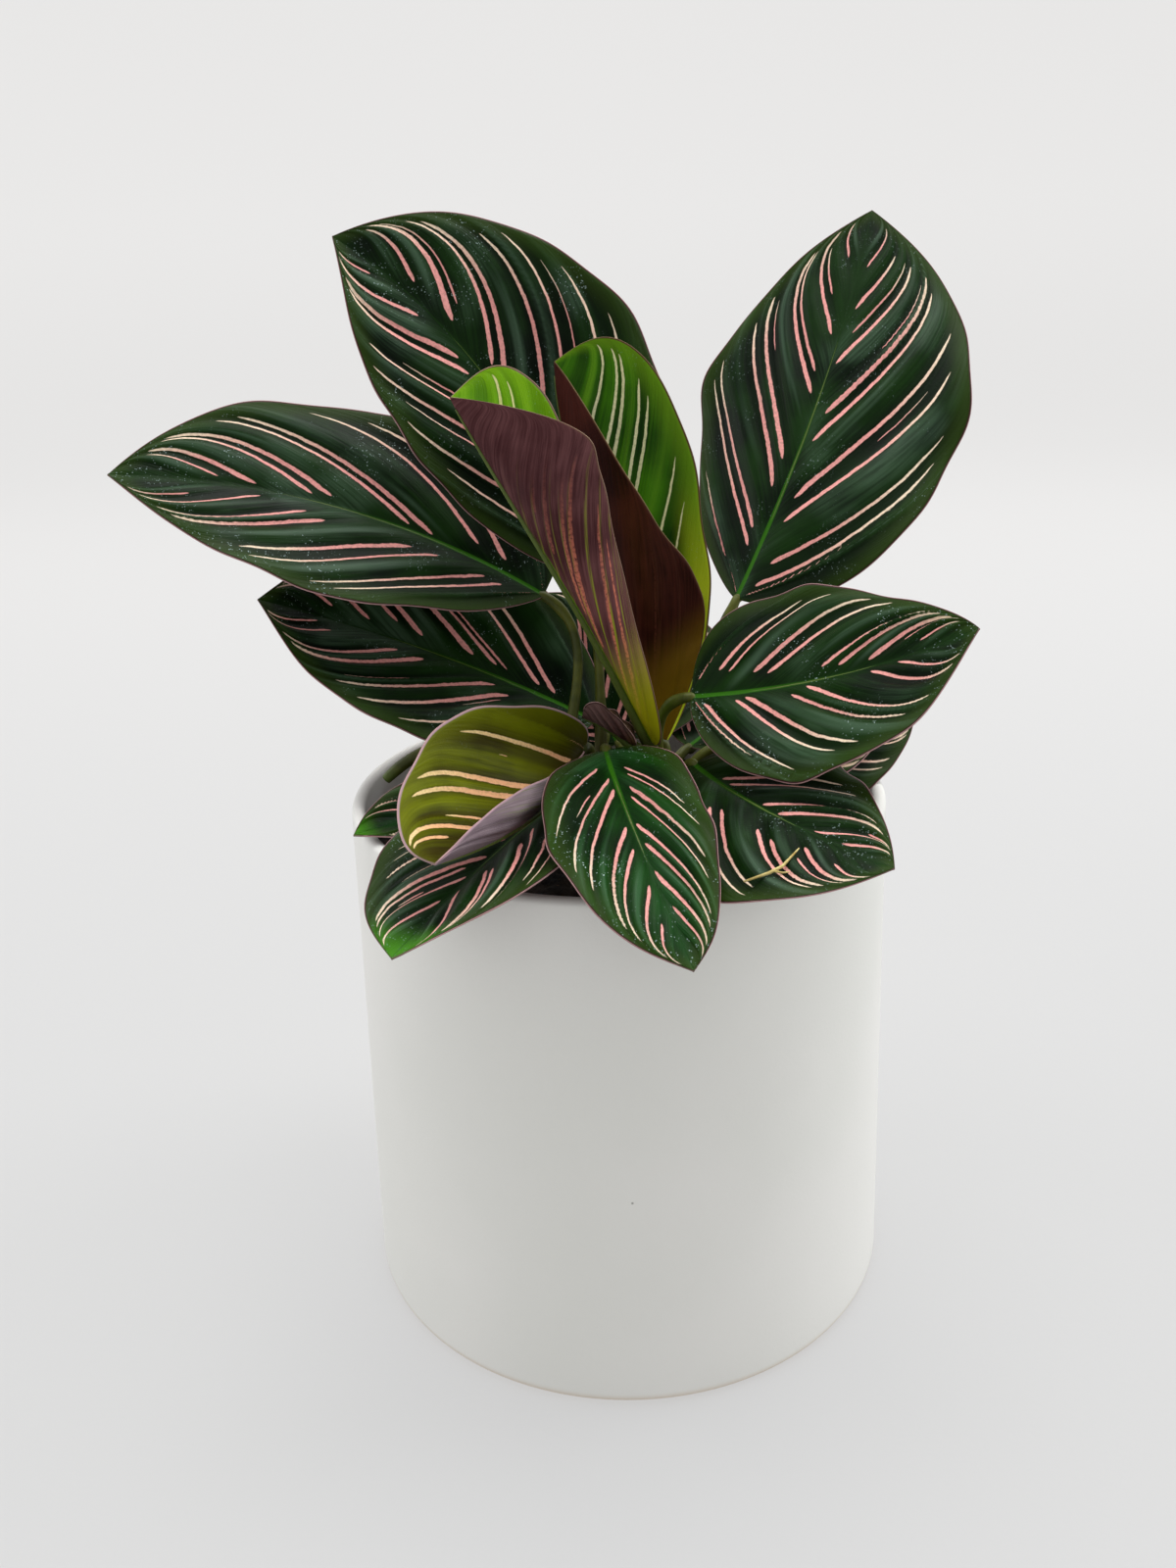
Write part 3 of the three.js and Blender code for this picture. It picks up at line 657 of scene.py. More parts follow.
# The stem, slightly swollen below the blade, which runs on under the blade as the rib. Its share is 0
# at the soil, 1 at the blade and 2 at the tip.
def make_stem(leaf, rib, normal):
    joint = rib[0]
    into = unit(rib[4] - joint)
    collar = np.array([*leaf["root"], SOIL["crown"] + 1], float)
    reach = np.linalg.norm(joint - collar)
    upward = collar + (0, 0, reach * STEM["rise"])
    arch = bezier([collar, upward, joint - into * reach * STEM["lean"], joint], 26)
    share = np.linspace(0, 1, len(arch))
    thinner = STEM["blade_radius"] - STEM["root_radius"]
    stem_radii = STEM["root_radius"] + thinner * np.minimum(1, share * 2)
    below_joint = (1 - share) * reach
    stem_radii = stem_radii + RIB["swelling"] * np.exp(-(((below_joint - RIB["swelling_at"]) / 3.0) ** 2))
    up = normal[3:-8:4]
    under_rib = rib[3:-8:4] - up * BLADE["thickness"] / 2
    rib_share = np.linspace(0, 1, len(under_rib))
    rib_radii = STEM["blade_radius"] * (1 - RIB["taper"] * rib_share)
    under_rib = under_rib - up * (rib_radii * RIB["sunk"])[:, None]
    centres = np.vstack([collar - (0, 0, 7), arch, under_rib])
    radii = np.concatenate([[STEM["root_radius"]], stem_radii, rib_radii])
    vertices, faces = tube(centres, radii, RIB["sides"])
    return vertices, faces, np.repeat(np.concatenate([[0], share, 1 + rib_share]), RIB["sides"])


# A whole leaf: its blade with two faces and its stem. The blade carries its own coordinates.
def make_leaf(name, leaf, surface, look, index):
    rows, columns = BLADE["rows"], BLADE["columns"]
    middle = columns // 2
    even = np.linspace(0, 1, rows + 1)
    stations = 0.45 * even + 0.55 * (0.5 - 0.5 * np.cos(np.pi * even))
    x, v = np.meshgrid(stations, np.linspace(-1, 1, columns + 1), indexing="ij")
    t = np.abs(v)
    points = surface(leaf, x, v)
    veins = vein_at(x, v)
    rib = points[:, middle : middle + 1]
    margin = np.where((v > 0)[..., None], points[:, -1:], points[:, :1])
    from_rib = np.linalg.norm(points - rib, axis=-1)
    to_margin = np.linalg.norm(points - margin, axis=-1)
    normal = blade_normals(leaf, surface, stations, x, v)

    # Relief along the veins, a groove over the rib, and waves in the margin
    on_left, on_right = (crests(veins, stripes_of(name, side)) for side in ("left", "right"))
    crest = np.where(v > 0, on_left, on_right)
    ends = np.sin(np.pi * np.clip(x, 0, 1)) ** 0.6
    relief = BLADE["relief"] * look.get("relief", 1) * crest * np.sin(np.pi * np.clip(t, 0, 1)) ** 0.9
    phase = index * 1.7
    wave = np.sin(2 * np.pi * look["count"] * x + phase + np.where(v > 0, 1.3, 0))
    groove = -BLADE["groove"] * np.exp(-((from_rib / 1.3) ** 2)) * ends
    points = points + normal * ((relief + look["wave"] * t**3 * wave) * ends + groove)[..., None]
    sway = 0.016 * np.sin(17 * x + phase) + 0.011 * np.sin(31 * x + 2.1 * phase)
    points = points + (points - rib) * (sway * t**4 * ends)[..., None]
    thickness = BLADE["edge"] + (BLADE["thickness"] - BLADE["edge"]) * (1 - t**6)
    half_up = normal * (thickness / 2)[..., None]

    stem, stem_faces, stem_share = make_stem(leaf, rib[:, 0], normal[:, middle])
    faces = blade_faces(rows, columns)
    blade_count = len(faces)
    faces += [tuple(c + 2 * x.size for c in f) for f in stem_faces]
    top, bottom = ((points + move).reshape(-1, 3) for move in (half_up, -half_up))
    made = mesh_object(name + "_shown", np.vstack([top, bottom, stem]), faces)

    def both(values, on_stem=0.0):
        flat = np.asarray(values).reshape(-1)
        return np.concatenate([flat, flat, on_stem + np.zeros(len(stem))])

    give(made, "vein", both(veins))
    give(made, "side", both(v))
    give(made, "spacing", both(vein_spacing(points, veins)))
    give(made, "along", both(x, stem_share))
    give(made, "rib_mm", both(from_rib))
    give(made, "edge_mm", both(to_margin))
    give(made, "crest", both(crest * np.clip(t * 4, 0, 1)))
    give(made, "upper", np.repeat([1.0, 0.0, 0.0], [x.size, x.size, len(stem)]))
    made.data.materials.append(leaf_material(name, look, index))
    made.data.materials.append(stem_material())
    made.data.polygons.foreach_set("material_index", np.arange(len(faces)) >= blade_count)
    drop_loose(made)
    return made


# The vertices that no face uses, at a blade's two ends, are dropped
def drop_loose(made):
    work = bmesh.new()
    work.from_mesh(made.data)
    loose = [vertex for vertex in work.verts if not vertex.link_faces]
    bmesh.ops.delete(work, geom=loose, context="VERTS")
    work.to_mesh(made.data)
    work.free()


# Node trees
def linear(colour):
    share = np.array(colour, float) / 255
    low = share / 12.92
    high = ((share + 0.055) / 1.055) ** 2.4
    return (*np.where(share <= 0.04045, low, high), 1.0)


class Tree:
    def __init__(self, name):
        self.material = bpy.data.materials.new(name)
        self.material.use_nodes = True
        self.nodes = self.material.node_tree.nodes
        self.links = self.material.node_tree.links
        self.shader = self.nodes["Principled BSDF"]

    def put(self, socket, value):
        if isinstance(value, bpy.types.NodeSocket):
            self.links.new(value, socket)
        elif value is not None:
            socket.default_value = value

    # A new node of a kind, with values or links in its named inputs
    def add(self, kind, output=0, **inputs):
        node = self.nodes.new("ShaderNode" + kind)
        for name, value in inputs.items():
            self.put(node.inputs[name], value)
        return node.outputs[output]

    def attribute(self, name):
        node = self.nodes.new("ShaderNodeAttribute")
        node.attribute_name = name
        return node.outputs["Fac"]

    def place(self):
        return self.add("TexCoord", "Object")

    def math(self, operation, a, b=None, c=None, clamp=False):
        node = self.nodes.new("ShaderNodeMath")
        node.operation = operation
        node.use_clamp = clamp
        for socket, value in zip(node.inputs, (a, b, c)):
            self.put(socket, value)
        return node.outputs[0]

    def times(self, a, b):
        return self.math("MULTIPLY", a, b)

    def plus(self, a, b):
        return self.math("ADD", a, b)

    def minus(self, a, b):
        return self.math("SUBTRACT", a, b)

    def ramp(self, value, low, high, to_low=0.0, to_high=1.0):
        node = self.nodes.new("ShaderNodeMapRange")
        node.interpolation_type = "SMOOTHSTEP"
        for socket, given in zip(node.inputs, (value, low, high, to_low, to_high)):
            self.put(socket, given)
        return node.outputs[0]

    def mix(self, share, a, b):
        node = self.nodes.new("ShaderNodeMix")
        node.data_type = "RGBA"
        for number, value in ((0, share), (6, a), (7, b)):
            self.put(node.inputs[number], value)
        return node.outputs[2]

    def combine(self, x, y, z):
        return self.add("CombineXYZ", X=x, Y=y, Z=z)

    def noise(self, vector, scale, detail=2.0, roughness=0.5):
        return self.add("TexNoise", Vector=vector, Scale=scale, Detail=detail, Roughness=roughness)

    def cells(self, vector, scale):
        return self.add("TexVoronoi", "Distance", Vector=vector, Scale=scale)

    def bump(self, height, strength, distance):
        return self.add("Bump", Height=height, Strength=strength, Distance=distance)

    def finish(self, colour, roughness, normal, **settings):
        self.put(self.shader.inputs["Base Color"], colour)
        self.put(self.shader.inputs["Roughness"], roughness)
        self.put(self.shader.inputs["Normal"], normal)
        for name, value in settings.items():
            self.shader.inputs[name.replace("_", " ")].default_value = value
        return self.material


# How fine each pattern on a leaf is, as features per metre
FINENESS = {
    "painted_haze": 38, "blotch": 55, "patch": 75, "wobble": 260, "worn": 900, "jag": 1100, "grain": 1500,
    "fleck": 1900, "pore": 2200,
}
WIDTH_UNIT = 4.0
RESIDUE = (190, 214, 212)


# A constant ramp hands on the nearest stripe of one half: its vein, start, end and width
def stripe_ramp(tree, place, stripes):
    node = tree.nodes.new("ShaderNodeValToRGB")
    node.color_ramp.interpolation = "CONSTANT"
    tree.put(node.inputs[0], place)
    elements = node.color_ramp.elements
    elements.remove(elements[1])
    ordered = sorted(stripes)
    for k, (vein, start, end, width) in enumerate(ordered):
        border = 0 if k == 0 else ((ordered[k - 1][0] + vein) / 2 + 1) / 2
        element = elements[0] if k == 0 else elements.new(border)
        element.color = ((vein + 1) / 2, start, end, width / WIDTH_UNIT)
    return node


# Where the stripes are, and how far out along its stripe each place lies
def stripe_mask(tree, name, at):
    vein, side, spacing = (tree.attribute(key) for key in ("vein", "side", "spacing"))
    across = tree.math("ABSOLUTE", side)
    wobble = tree.times(tree.minus(tree.noise(at, FINENESS["wobble"], 2), 0.5), 0.5)
    moved = tree.plus(vein, tree.math("DIVIDE", wobble, spacing))
    place = tree.math("MULTIPLY_ADD", moved, 0.5, 0.5)
    left = stripe_ramp(tree, place, stripes_of(name, "left"))
    right = stripe_ramp(tree, place, stripes_of(name, "right"))
    on_left = tree.math("GREATER_THAN", side, 0.0)
    chosen = tree.mix(on_left, right.outputs[0], left.outputs[0])
    vein_share, start, end = (tree.add("SeparateColor", k, Color=chosen) for k in range(3))
    width = tree.mix(on_left, right.outputs[1], left.outputs[1])
    half_width = tree.times(width, WIDTH_UNIT / 2)
    centre = tree.math("MULTIPLY_ADD", vein_share, 2.0, -1.0)
    distance = tree.times(tree.math("ABSOLUTE", tree.minus(moved, centre)), spacing)
    run = tree.math("DIVIDE", tree.minus(across, start), tree.minus(end, start))
    opening = tree.math("DIVIDE", tree.minus(across, start), 0.035, clamp=True)
    closing = tree.math("DIVIDE", tree.minus(end, across), 0.06, clamp=True)
    rounding = tree.math("SQRT", tree.times(opening, closing))
    taper = tree.math("MULTIPLY_ADD", run, -0.46, 0.82)
    jagged = tree.math("MULTIPLY_ADD", tree.noise(at, FINENESS["jag"], 1), 0.5, 0.75)
    size = tree.times(tree.times(half_width, taper), tree.times(jagged, rounding))
    mask = tree.ramp(tree.minus(size, distance), -0.1, 0.1)
    return tree.times(mask, tree.math("GREATER_THAN", rounding, 0.02)), run


# What the parts of a leaf's material share: its coordinates, and tones that drift over it. Fine
# veinlets run beside the main veins.
def leaf_ground(tree, index):
    shift = (index * 0.37, index * 0.13, index * 0.71)
    at = tree.add("Mapping", Vector=tree.place(), Location=shift)
    ground = {key: tree.attribute(key) for key in ("vein", "along", "rib_mm", "edge_mm", "crest")}
    beside = tree.times(ground["vein"], 34.0)
    drawn_out = tree.combine(beside, tree.times(ground["along"], 2.5), index * 3.1)
    broad = tree.combine(tree.times(ground["vein"], 9.0), ground["along"], index * 1.3)
    ground["at"] = at
    ground["veinlets"] = tree.noise(drawn_out, 3.0, 3)
    ground["streaks"] = tree.noise(broad, 1.6, 2)
    ground["blotches"] = tree.noise(at, FINENESS["blotch"], 3)
    ground["grain"] = tree.noise(at, FINENESS["grain"], 2)
    return ground


# The green of the upper face: painted shade darkens the grooves under the stripes, with a painted grey
# sheen on the crests
def upper_green(tree, look, colours, ground):
    along, rib_mm, edge_mm = ground["along"], ground["rib_mm"], ground["edge_mm"]
    crest, veinlets = ground["crest"], ground["veinlets"]
    tone = tree.ramp(tree.plus(ground["blotches"], tree.times(veinlets, 0.45)), 0.45, 0.95)
    colour = tree.mix(tone, colours["upper"], colours["upper_light"])
    # Painted shade: the grooves under the stripes are darkened toward the deep colour
    groove = tree.times(tree.ramp(crest, 0.2, -0.9), tree.ramp(rib_mm, 0.5, 2.5))
    colour = tree.mix(tree.times(groove, 0.6), colour, colours["deep_and_shade"])
    # Painted sheen: a grey-green highlight on the crests and in hazy patches, mixed into the colour; it
    # also lowers the roughness there
    painted_sheen = tree.times(tree.ramp(crest, -0.1, 1.0), tree.ramp(ground["streaks"], 0.46, 0.68))
    painted_haze = tree.ramp(tree.noise(ground["at"], FINENESS["painted_haze"], 2), 0.5, 0.68)
    painted_haze = tree.times(painted_haze, tree.ramp(crest, -0.8, 0.4))
    painted_haze = tree.times(painted_haze, tree.ramp(veinlets, 0.3, 0.65, 0.35, 1.0))
    painted_sheen = tree.math("MAXIMUM", painted_sheen, tree.times(painted_haze, 0.75))
    colour = tree.mix(tree.times(painted_sheen, 0.6), colour, colours["crest"])
    colour = tree.mix(tree.times(tree.ramp(edge_mm, 7.0, 0.5), 0.6), colour, colours["edge"])
    if look.get("middle"):
        middle = tree.times(tree.ramp(rib_mm, look["middle"], 1.0), 0.7)
        colour = tree.mix(middle, colour, colours["deep_and_shade"])
    if look.get("lime"):
        lime = tree.times(tree.ramp(edge_mm, look["lime"], 3.0), tree.ramp(along, 0.66, 0.36))
        colour = tree.mix(lime, colour, colours["lime"])
    if look.get("tip"):
        tip = tree.times(tree.ramp(along, 0.86, 0.99), look["tip"])
        colour = tree.mix(tip, colour, colours["tip"])
    return colour, painted_sheen


# Stripes turn from pink to cream on their way out
def with_stripes(tree, colours, ground, colour, mask, run):
    fade = tree.plus(run, tree.times(tree.minus(ground["blotches"], 0.5), 0.6))
    stripe = tree.mix(tree.ramp(fade, 0.35, 1.0), colours["stripe_in"], colours["stripe_out"])
    worn = tree.times(tree.ramp(ground["grain"], 0.35, 0.75), 0.25)
    return tree.mix(mask, colour, tree.mix(worn, stripe, colours["upper_light"]))


def with_rib(tree, colours, ground, colour):
    width = tree.ramp(ground["along"], 0.0, 1.0, 0.62, 0.1)
    mask = tree.ramp(tree.minus(width, ground["rib_mm"]), -0.15, 0.2)
    rib = tree.mix(tree.ramp(ground["along"], 0.05, 0.7), colours["rib"], colours["upper_light"])
    return tree.mix(tree.times(mask, 0.9), colour, rib)


# Dried water: small pale flecks in patches, most of them toward the tip
def fleck_mask(tree, look, ground):
    at = ground["at"]
    spots = tree.ramp(tree.cells(at, FINENESS["fleck"]), 0.36, 0.18)
    patches = tree.ramp(tree.noise(at, FINENESS["patch"], 2), 0.52, 0.68)
    toward_tip = tree.times(tree.ramp(ground["along"], 0.72, 0.95), 0.6 * look["flecks"])
    patches = tree.math("ADD", patches, toward_tip, clamp=True)
    worn = tree.ramp(tree.noise(at, FINENESS["worn"], 2), 0.53, 0.6)
    return tree.times(tree.times(spots, tree.times(patches, worn)), look["flecks"])


# The underside, on which the stripes only show through, and only toward the base
def underside(tree, look, colours, ground, mask):
    along, veinlets = ground["along"], ground["veinlets"]
    tone = tree.ramp(tree.plus(ground["blotches"], tree.times(veinlets, 0.6)), 0.5, 1.1)
    under = tree.mix(tone, colours["under"], colours["under_light"])
    lower = tree.ramp(tree.plus(along, tree.times(ground["streaks"], 0.4)), 0.95, 0.5)
    shows = tree.times(tree.times(mask, tree.ramp(ground["grain"], 0.2, 0.6)), lower)
    under = tree.mix(tree.times(shows, 0.95), under, colours["under_stripe"])
    lines = tree.ramp(tree.math("SINE", tree.times(ground["vein"], 88.0)), 0.72, 0.98)
    lines = tree.times(tree.times(lines, tree.ramp(veinlets, 0.4, 0.6)), lower)
    under = tree.mix(lines, under, colours["under_line"])
    under = tree.mix(tree.ramp(along, 0.3, 0.05, 0.0, 0.95), under, colours["under_base"])
    if look.get("lit_rib"):
        beside_rib = tree.ramp(ground["rib_mm"], look["lit_rib"], look["lit_rib"] * 0.6)
        beside_rib = tree.times(beside_rib, tree.ramp(along, 0.62, 0.4, 0.0, 0.9))
        under = tree.mix(beside_rib, under, colours["rib"])
    return under


# A thin dark edge with a painted highlight, a pale line on its very margin, fading toward the tip
def with_margin(tree, colours, ground, colour):
    kept = tree.ramp(ground["along"], 0.95, 0.995, 1.0, 0.4)
    rim = tree.times(tree.ramp(ground["edge_mm"], 0.62, 0.25), kept)
    # Painted highlight: a pale line along the very margin
    painted_highlight = tree.times(tree.times(tree.ramp(ground["edge_mm"], 0.2, 0.06), 0.75), kept)
    return tree.mix(painted_highlight, tree.mix(rim, colour, colours["margin"]), colours["margin_highlight"])


def leaf_material(name, look, index):
    tree = Tree(name + "_leaf")
    colours = {key: linear(value) for key, value in PALETTES[look.get("palette", "dark")].items()}
    ground = leaf_ground(tree, index)
    mask, run = stripe_mask(tree, name, ground["at"])
    fleck = fleck_mask(tree, look, ground)
    colour, painted_sheen = upper_green(tree, look, colours, ground)
    colour = with_stripes(tree, colours, ground, colour, mask, run)
    colour = tree.mix(fleck, with_rib(tree, colours, ground, colour), linear(RESIDUE))
    upper = tree.ramp(tree.attribute("upper"), 0.45, 0.55)
    colour = tree.mix(upper, underside(tree, look, colours, ground, mask), colour)
    colour = with_margin(tree, colours, ground, colour)

    roughness = tree.math("MULTIPLY_ADD", ground["blotches"], 0.16, 0.34)
    roughness = tree.minus(roughness, tree.times(painted_sheen, 0.1))
    roughness = tree.plus(roughness, tree.times(mask, 0.12))
    roughness = tree.plus(roughness, tree.times(fleck, 0.3))
    pores = tree.times(tree.noise(ground["at"], FINENESS["pore"], 1), 0.15)
    height = tree.math("MULTIPLY_ADD", ground["veinlets"], 0.6, pores)
    return tree.finish(colour, roughness, tree.bump(height, 0.5, 0.0004), Specular_IOR_Level=0.08)


# All stems share one material
@cache
def stem_material():
    tree = Tree("stem_skin")
    at = tree.place()
    along = tree.attribute("along")
    lines = tree.noise(tree.add("Mapping", Vector=at, Scale=(1.0, 1.0, 0.08)), 1600, 3)
    tone = tree.ramp(tree.noise(at, 120, 2), 0.35, 0.65)
    olive = tree.mix(tone, linear((62, 70, 24)), linear((98, 104, 36)))
    low = tree.mix(tree.ramp(along, 0.45, 0.0), olive, linear((58, 38, 26)))
    ribbed = tree.mix(tree.ramp(along, 0.98, 1.1), low, linear((92, 110, 46)))
    colour = tree.mix(tree.times(lines, 0.35), ribbed, linear((36, 34, 16)))
    return tree.finish(colour, 0.42, tree.bump(lines, 0.4, 0.0003), Specular_IOR_Level=0.25)


def pot_material():
    tree = Tree("pot_matte")
    at = tree.place()
    cloud = tree.noise(at, 14, 3)
    grain = tree.noise(at, 1300, 3, 0.6)
    colour = tree.mix(tree.ramp(cloud, 0.35, 0.7), linear((235, 235, 230)), linear((240, 239, 235)))
    patches = tree.ramp(tree.noise(at, 30, 1), 0.62, 0.66)
    specks = tree.times(tree.ramp(tree.cells(at, 85), 0.035, 0.02), patches)
    colour = tree.mix(tree.times(specks, 0.7), colour, linear((110, 106, 96)))
    foot = tree.ramp(tree.add("SeparateXYZ", "Z", Vector=at), 0.0032, 0.0006)
    colour = tree.mix(tree.times(foot, 0.8), colour, linear((208, 190, 166)))
    roughness = tree.math("MULTIPLY_ADD", cloud, 0.12, 0.5)
    return tree.finish(colour, roughness, tree.bump(grain, 0.16, 0.0003), Specular_IOR_Level=0.35)


def soil_material():
    tree = Tree("soil_crumb")
    at = tree.place()
    crumbs = tree.noise(at, 420, 5, 0.65)
    tone = tree.ramp(tree.noise(at, 150, 3), 0.35, 0.68)
    colour = tree.mix(tone, linear((18, 14, 12)), linear((52, 40, 31)))
    fibre = tree.ramp(tree.noise(at, 900, 2), 0.62, 0.7)
    colour = tree.mix(tree.times(fibre, 0.6), colour, linear((94, 70, 48)))
    return tree.finish(colour, 0.92, tree.bump(crumbs, 0.9, 0.0016), Specular_IOR_Level=0.3)


def perlite_material():
    tree = Tree("perlite_grain")
    at = tree.place()
    pits = tree.noise(at, 1800, 3)
    colour = tree.mix(tree.ramp(pits, 0.3, 0.7), linear((150, 146, 136)), linear((232, 230, 224)))
    return tree.finish(colour, 0.85, tree.bump(pits, 0.6, 0.0004))


# The pot, turned about its axis
def turned(name, profile, segments):
    rings = len(profile)
    vertices = rings_of(profile, segments)
    faces = ring_faces(rings, segments)
    faces.append(tuple(reversed(range(segments))))
    faces.append(tuple(range((rings - 1) * segments, rings * segments)))
    return mesh_object(name, vertices, faces)


def arc(centre, radius, first, last, count):
    angles = np.radians(np.linspace(first, last, count))
    return [(centre[0] + radius * math.cos(a), centre[1] + radius * math.sin(a)) for a in angles]


def make_pot():
    lip = POT["wall"] / 2
    foot = POT["foot_round"]
    height = POT["height"]
    top_centre = (POT["rim_radius"] - lip, height - lip)
    profile = [(20, 0.0), (POT["base_radius"] - foot - 6, 0.0)]
    profile += arc((POT["base_radius"] - foot, foot), foot, -90, 0, 9)
    profile += [
        (POT["base_radius"] + (POT["rim_radius"] - POT["base_radius"]) * z / height, z)
        for z in np.linspace(foot + 4, height - lip - 1.5, 24)
    ]
    profile += arc(top_centre, lip, 0, 180, 13)
    inside = POT["base_radius"] - POT["wall"]
    profile += [(POT["rim_radius"] - POT["wall"], z) for z in np.linspace(height - 5, 60, 6)]
    profile += [(inside, POT["floor"] + 4), (inside - 4, POT["floor"]), (20, POT["floor"])]
    pot = turned("pot_shown", profile, 160)
    pot.data.materials.append(pot_material())
    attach(pot, BODY)
    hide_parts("pot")


# The soil's height at a place: heaped toward the middle, and crumbly
def soil_height(x, y):
    radius = math.hypot(x, y) / (POT["rim_radius"] - POT["wall"])
    heap = SOIL["edge"] + (SOIL["crown"] - SOIL["edge"]) * max(0, 1 - radius) ** 0.8 - 0.8
    crumbs = noise.fractal(Vector((x, y, 0)) * 0.16, 1.0, 2.0, 4)
    clods = noise.fractal(Vector((x + 90, y, 3)) * 0.42, 0.8, 2.0, 3)
    return heap + 1.1 * crumbs + 0.55 * clods


def make_soil():
    rings, segments = 60, 160
    outer = POT["rim_radius"] - POT["wall"] - 0.15
    level = rings_of([(outer * i / rings, 0) for i in range(1, rings + 1)], segments)
    vertices = [(x, y, soil_height(x, y)) for x, y, _ in [(0, 0, 0), *level]]
    vertices += rings_of([(outer, POT["floor"])], segments)
    faces = sheet_faces(rings + 1, segments)
    last = 1 + rings * segments
    faces.append(tuple(reversed(range(last, last + segments))))
    soil = mesh_object("soil_shown", vertices, faces)
    soil.data.materials.append(soil_material())
    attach(soil, BODY)
    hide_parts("soil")


# Perlite grains and bits of bark lie on the soil
def make_grains(name, count, sizes, flatness, material, seed):
    random = np.random.default_rng(seed)
    template = bmesh.new()
    bmesh.ops.create_icosphere(template, subdivisions=1, radius=1)
    ball = np.array([v.co[:] for v in template.verts])
    ball_faces = [[v.index for v in f.verts] for f in template.faces]
    template.free()
    vertices = []
    faces = []
    for _ in range(count):
        reach = (POT["rim_radius"] - POT["wall"] - 3) * math.sqrt(random.random())
        angle = random.uniform(0, 2 * math.pi)
        x, y = reach * math.cos(angle), reach * math.sin(angle)
        size = random.uniform(*sizes)
        shape = ball * (1 + 0.35 * random.standard_normal((len(ball), 1)))
        shape = shape * size * np.array([1, random.uniform(0.5, 1), flatness])
        turn = np.array(Euler(random.uniform(-0.5, 0.5, 3) + (0, 0, angle)).to_matrix())
        place = np.array([x, y, soil_height(x, y) + size * flatness * 0.35])
        first = len(vertices)
        vertices += list(shape @ turn.T + place)
        faces += [tuple(first + c for c in f) for f in ball_faces]
    made = mesh_object(name, vertices, faces, smooth=False)
    made.data.materials.append(material)
    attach(made, BODY)


def make_cut_stem():
    collar = np.array([*CUT_STEM["root"], SOIL["crown"]], float)
    arch = bezier([collar, *CUT_STEM["over"], CUT_STEM["end"]], 40)
    centres = np.vstack([collar - (0, 0, 7), arch])
    radius = CUT_STEM["radius"]
    radii = [radius] * (len(centres) - 3) + [radius * 0.96, radius * 0.93, radius * 0.86]
    vertices, faces = tube(centres, radii, 16)
    stem = mesh_object("cut_stem_shown", vertices, faces)
    give(stem, "along", np.repeat(np.linspace(0, 1.1, len(centres)), 16))
    stem.data.materials.append(stem_material())
    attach(stem, BODY)
    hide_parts("cut_stem")


# A dry fibre lies across the front right leaf
FIBRE = [(23.4, -66.6, 130.4), (28.7, -65.6, 131.7), (31.5, -64.2, 132.4), (35.4, -60.2, 134.4)]
FIBRE_FORK = [(29.6, -65.4, 131.9), (31.2, -66.2, 131.9), (32.6, -66.4, 132.1)]


def make_fibre():
    tree = Tree("fibre_dry")
    tone = tree.ramp(tree.noise(tree.place(), 500, 2), 0.3, 0.7)
    colour = tree.mix(tone, linear((170, 140, 60)), linear((226, 210, 140)))
    material = tree.finish(colour, 0.7, None)
    for name, points, radii in (
        ("fibre", FIBRE, (0.2, 0.36, 0.34, 0.14)),
        ("fibre_fork", FIBRE_FORK, (0.26, 0.2, 0.1)),
    ):
        fibre = mesh_object(name, *tube(points, radii, 8))
        fibre.data.materials.append(material)
        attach(fibre, BODY)


# Camera: fitted to the pot's rim, foot and sides in the photograph
CAMERA = {
    "place": (-6.5, -316.8, 250.6), "pitch": 16.97, "roll": -1.714, "lens": 31.5, "shift_y": -0.0686,
}


def make_camera():
    data = bpy.data.cameras.new("camera")
    data.sensor_width = 36
    data.lens = CAMERA["lens"]
    data.shift_y = CAMERA["shift_y"]
    data.clip_start = 0.01
    camera = bpy.data.objects.new("camera", data)
    bpy.context.scene.collection.objects.link(camera)
    turn = Euler((math.radians(90 - CAMERA["pitch"]), 0, 0)).to_matrix().to_4x4()
    roll = Matrix.Rotation(math.radians(CAMERA["roll"]), 4, "Z")
    camera.matrix_world = Matrix.Translation(Vector(CAMERA["place"]) * MM) @ turn @ roll
    bpy.context.scene.camera = camera


# A pale floor that sweeps up into a backdrop all round. It glows as painted light that also lights the
# plant.
STAGE = {"flat": 1500, "sweep": 900, "top": 3200, "segments": 96}


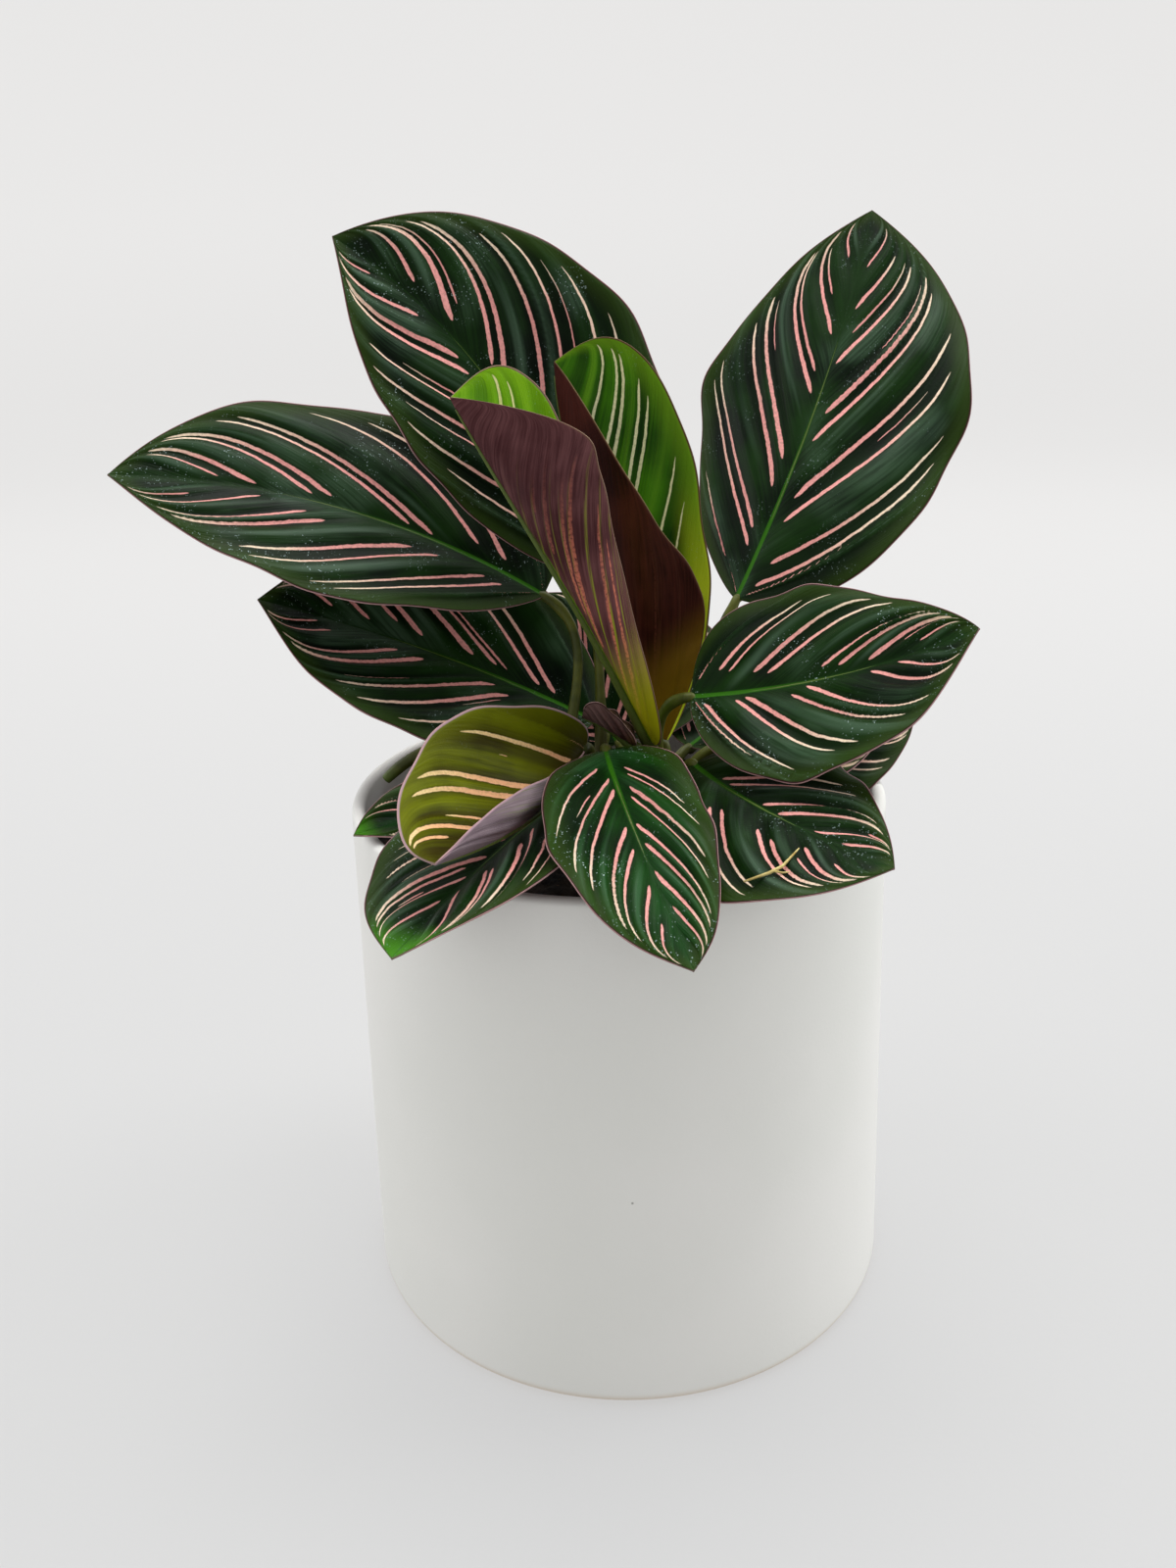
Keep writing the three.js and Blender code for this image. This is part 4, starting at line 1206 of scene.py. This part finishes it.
def make_stage():
    flat, sweep, segments = STAGE["flat"], STAGE["sweep"], STAGE["segments"]
    bend = np.radians(np.linspace(6, 90, 15))
    profile = [(400, 0), (900, 0), (flat, 0)]
    profile += [(flat + sweep * math.sin(a), sweep - sweep * math.cos(a)) for a in bend]
    profile += [(flat + sweep, STAGE["top"])]
    vertices = [(0, 0, 0), *rings_of(profile, segments)]
    floor = mesh_object("floor", vertices, sheet_faces(len(profile), segments))
    floor.location.z = -0.0002
    tree = Tree("glowing_paper")
    at = tree.place()
    grain = tree.bump(tree.noise(at, 700, 2), 0.08, 0.0005)
    depth, height = (tree.add("SeparateXYZ", axis, Vector=at) for axis in "YZ")
    # Painted light: the paper glows, brighter behind the pot and up the sweep, and weaker in front
    painted_glow = tree.mix(tree.ramp(depth, -0.15, 1.1), linear((188, 188, 188)), linear((206, 205, 204)))
    painted_glow = tree.mix(tree.ramp(height, 0.0, 0.35), painted_glow, linear((213, 212, 211)))
    tree.put(tree.shader.inputs["Emission Color"], painted_glow)
    tree.put(tree.shader.inputs["Emission Strength"], tree.ramp(depth, -1.1, -0.5, 0.65, 1.0))
    glowing_paper = tree.finish(linear((116, 116, 116)), 0.9, grain, Specular_IOR_Level=0.1)
    floor.data.materials.append(glowing_paper)


def area_light(name, place, target, size, power, colour):
    data = bpy.data.lights.new(name, "AREA")
    data.shape = "DISK"
    data.size = size
    data.energy = power
    data.color = colour
    lamp = bpy.data.objects.new(name, data)
    bpy.context.scene.collection.objects.link(lamp)
    lamp.location = place
    aim = Vector(target) - Vector(place)
    lamp.rotation_euler = aim.to_track_quat("-Z", "Y").to_euler()


def make_light():
    world = bpy.data.worlds.new("soft_room")
    world.use_nodes = True
    background = world.node_tree.nodes["Background"]
    background.inputs["Color"].default_value = (0.93, 0.97, 1.0, 1)
    background.inputs["Strength"].default_value = 0.58
    bpy.context.scene.world = world
    bpy.context.scene.view_settings.view_transform = "Standard"
    area_light("overhead", (0.1, 0.25, 1.6), (0, 0, 0.15), 1.2, 19, (1.0, 0.99, 0.97))
    area_light("window", (1.3, 0.3, 0.7), (0, 0, 0.12), 0.8, 6, (0.95, 0.98, 1.0))
    area_light("reflector", (-1.3, 0.3, 0.7), (0, 0, 0.12), 0.8, 3, (0.97, 0.98, 1.0))


make_camera()
make_stage()
make_light()
make_pot()
make_soil()
make_grains("perlite", 70, (0.5, 1.3), 0.8, perlite_material(), 5)
make_grains("bark", 220, (0.8, 2.4), 0.4, soil_material(), 8)
make_cut_stem()
make_fibre()
for index, (leaf_name, leaf) in enumerate({**OPEN_LEAVES, **ROLLED_LEAVES}.items()):
    surface = open_surface if leaf_name in OPEN_LEAVES else rolled_surface
    look = {**USUAL_LOOK, **LOOKS.get(leaf_name, {})}
    shown = make_leaf(leaf_name, leaf, surface, look, index)
    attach(shown, BODY)
    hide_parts(leaf_name)
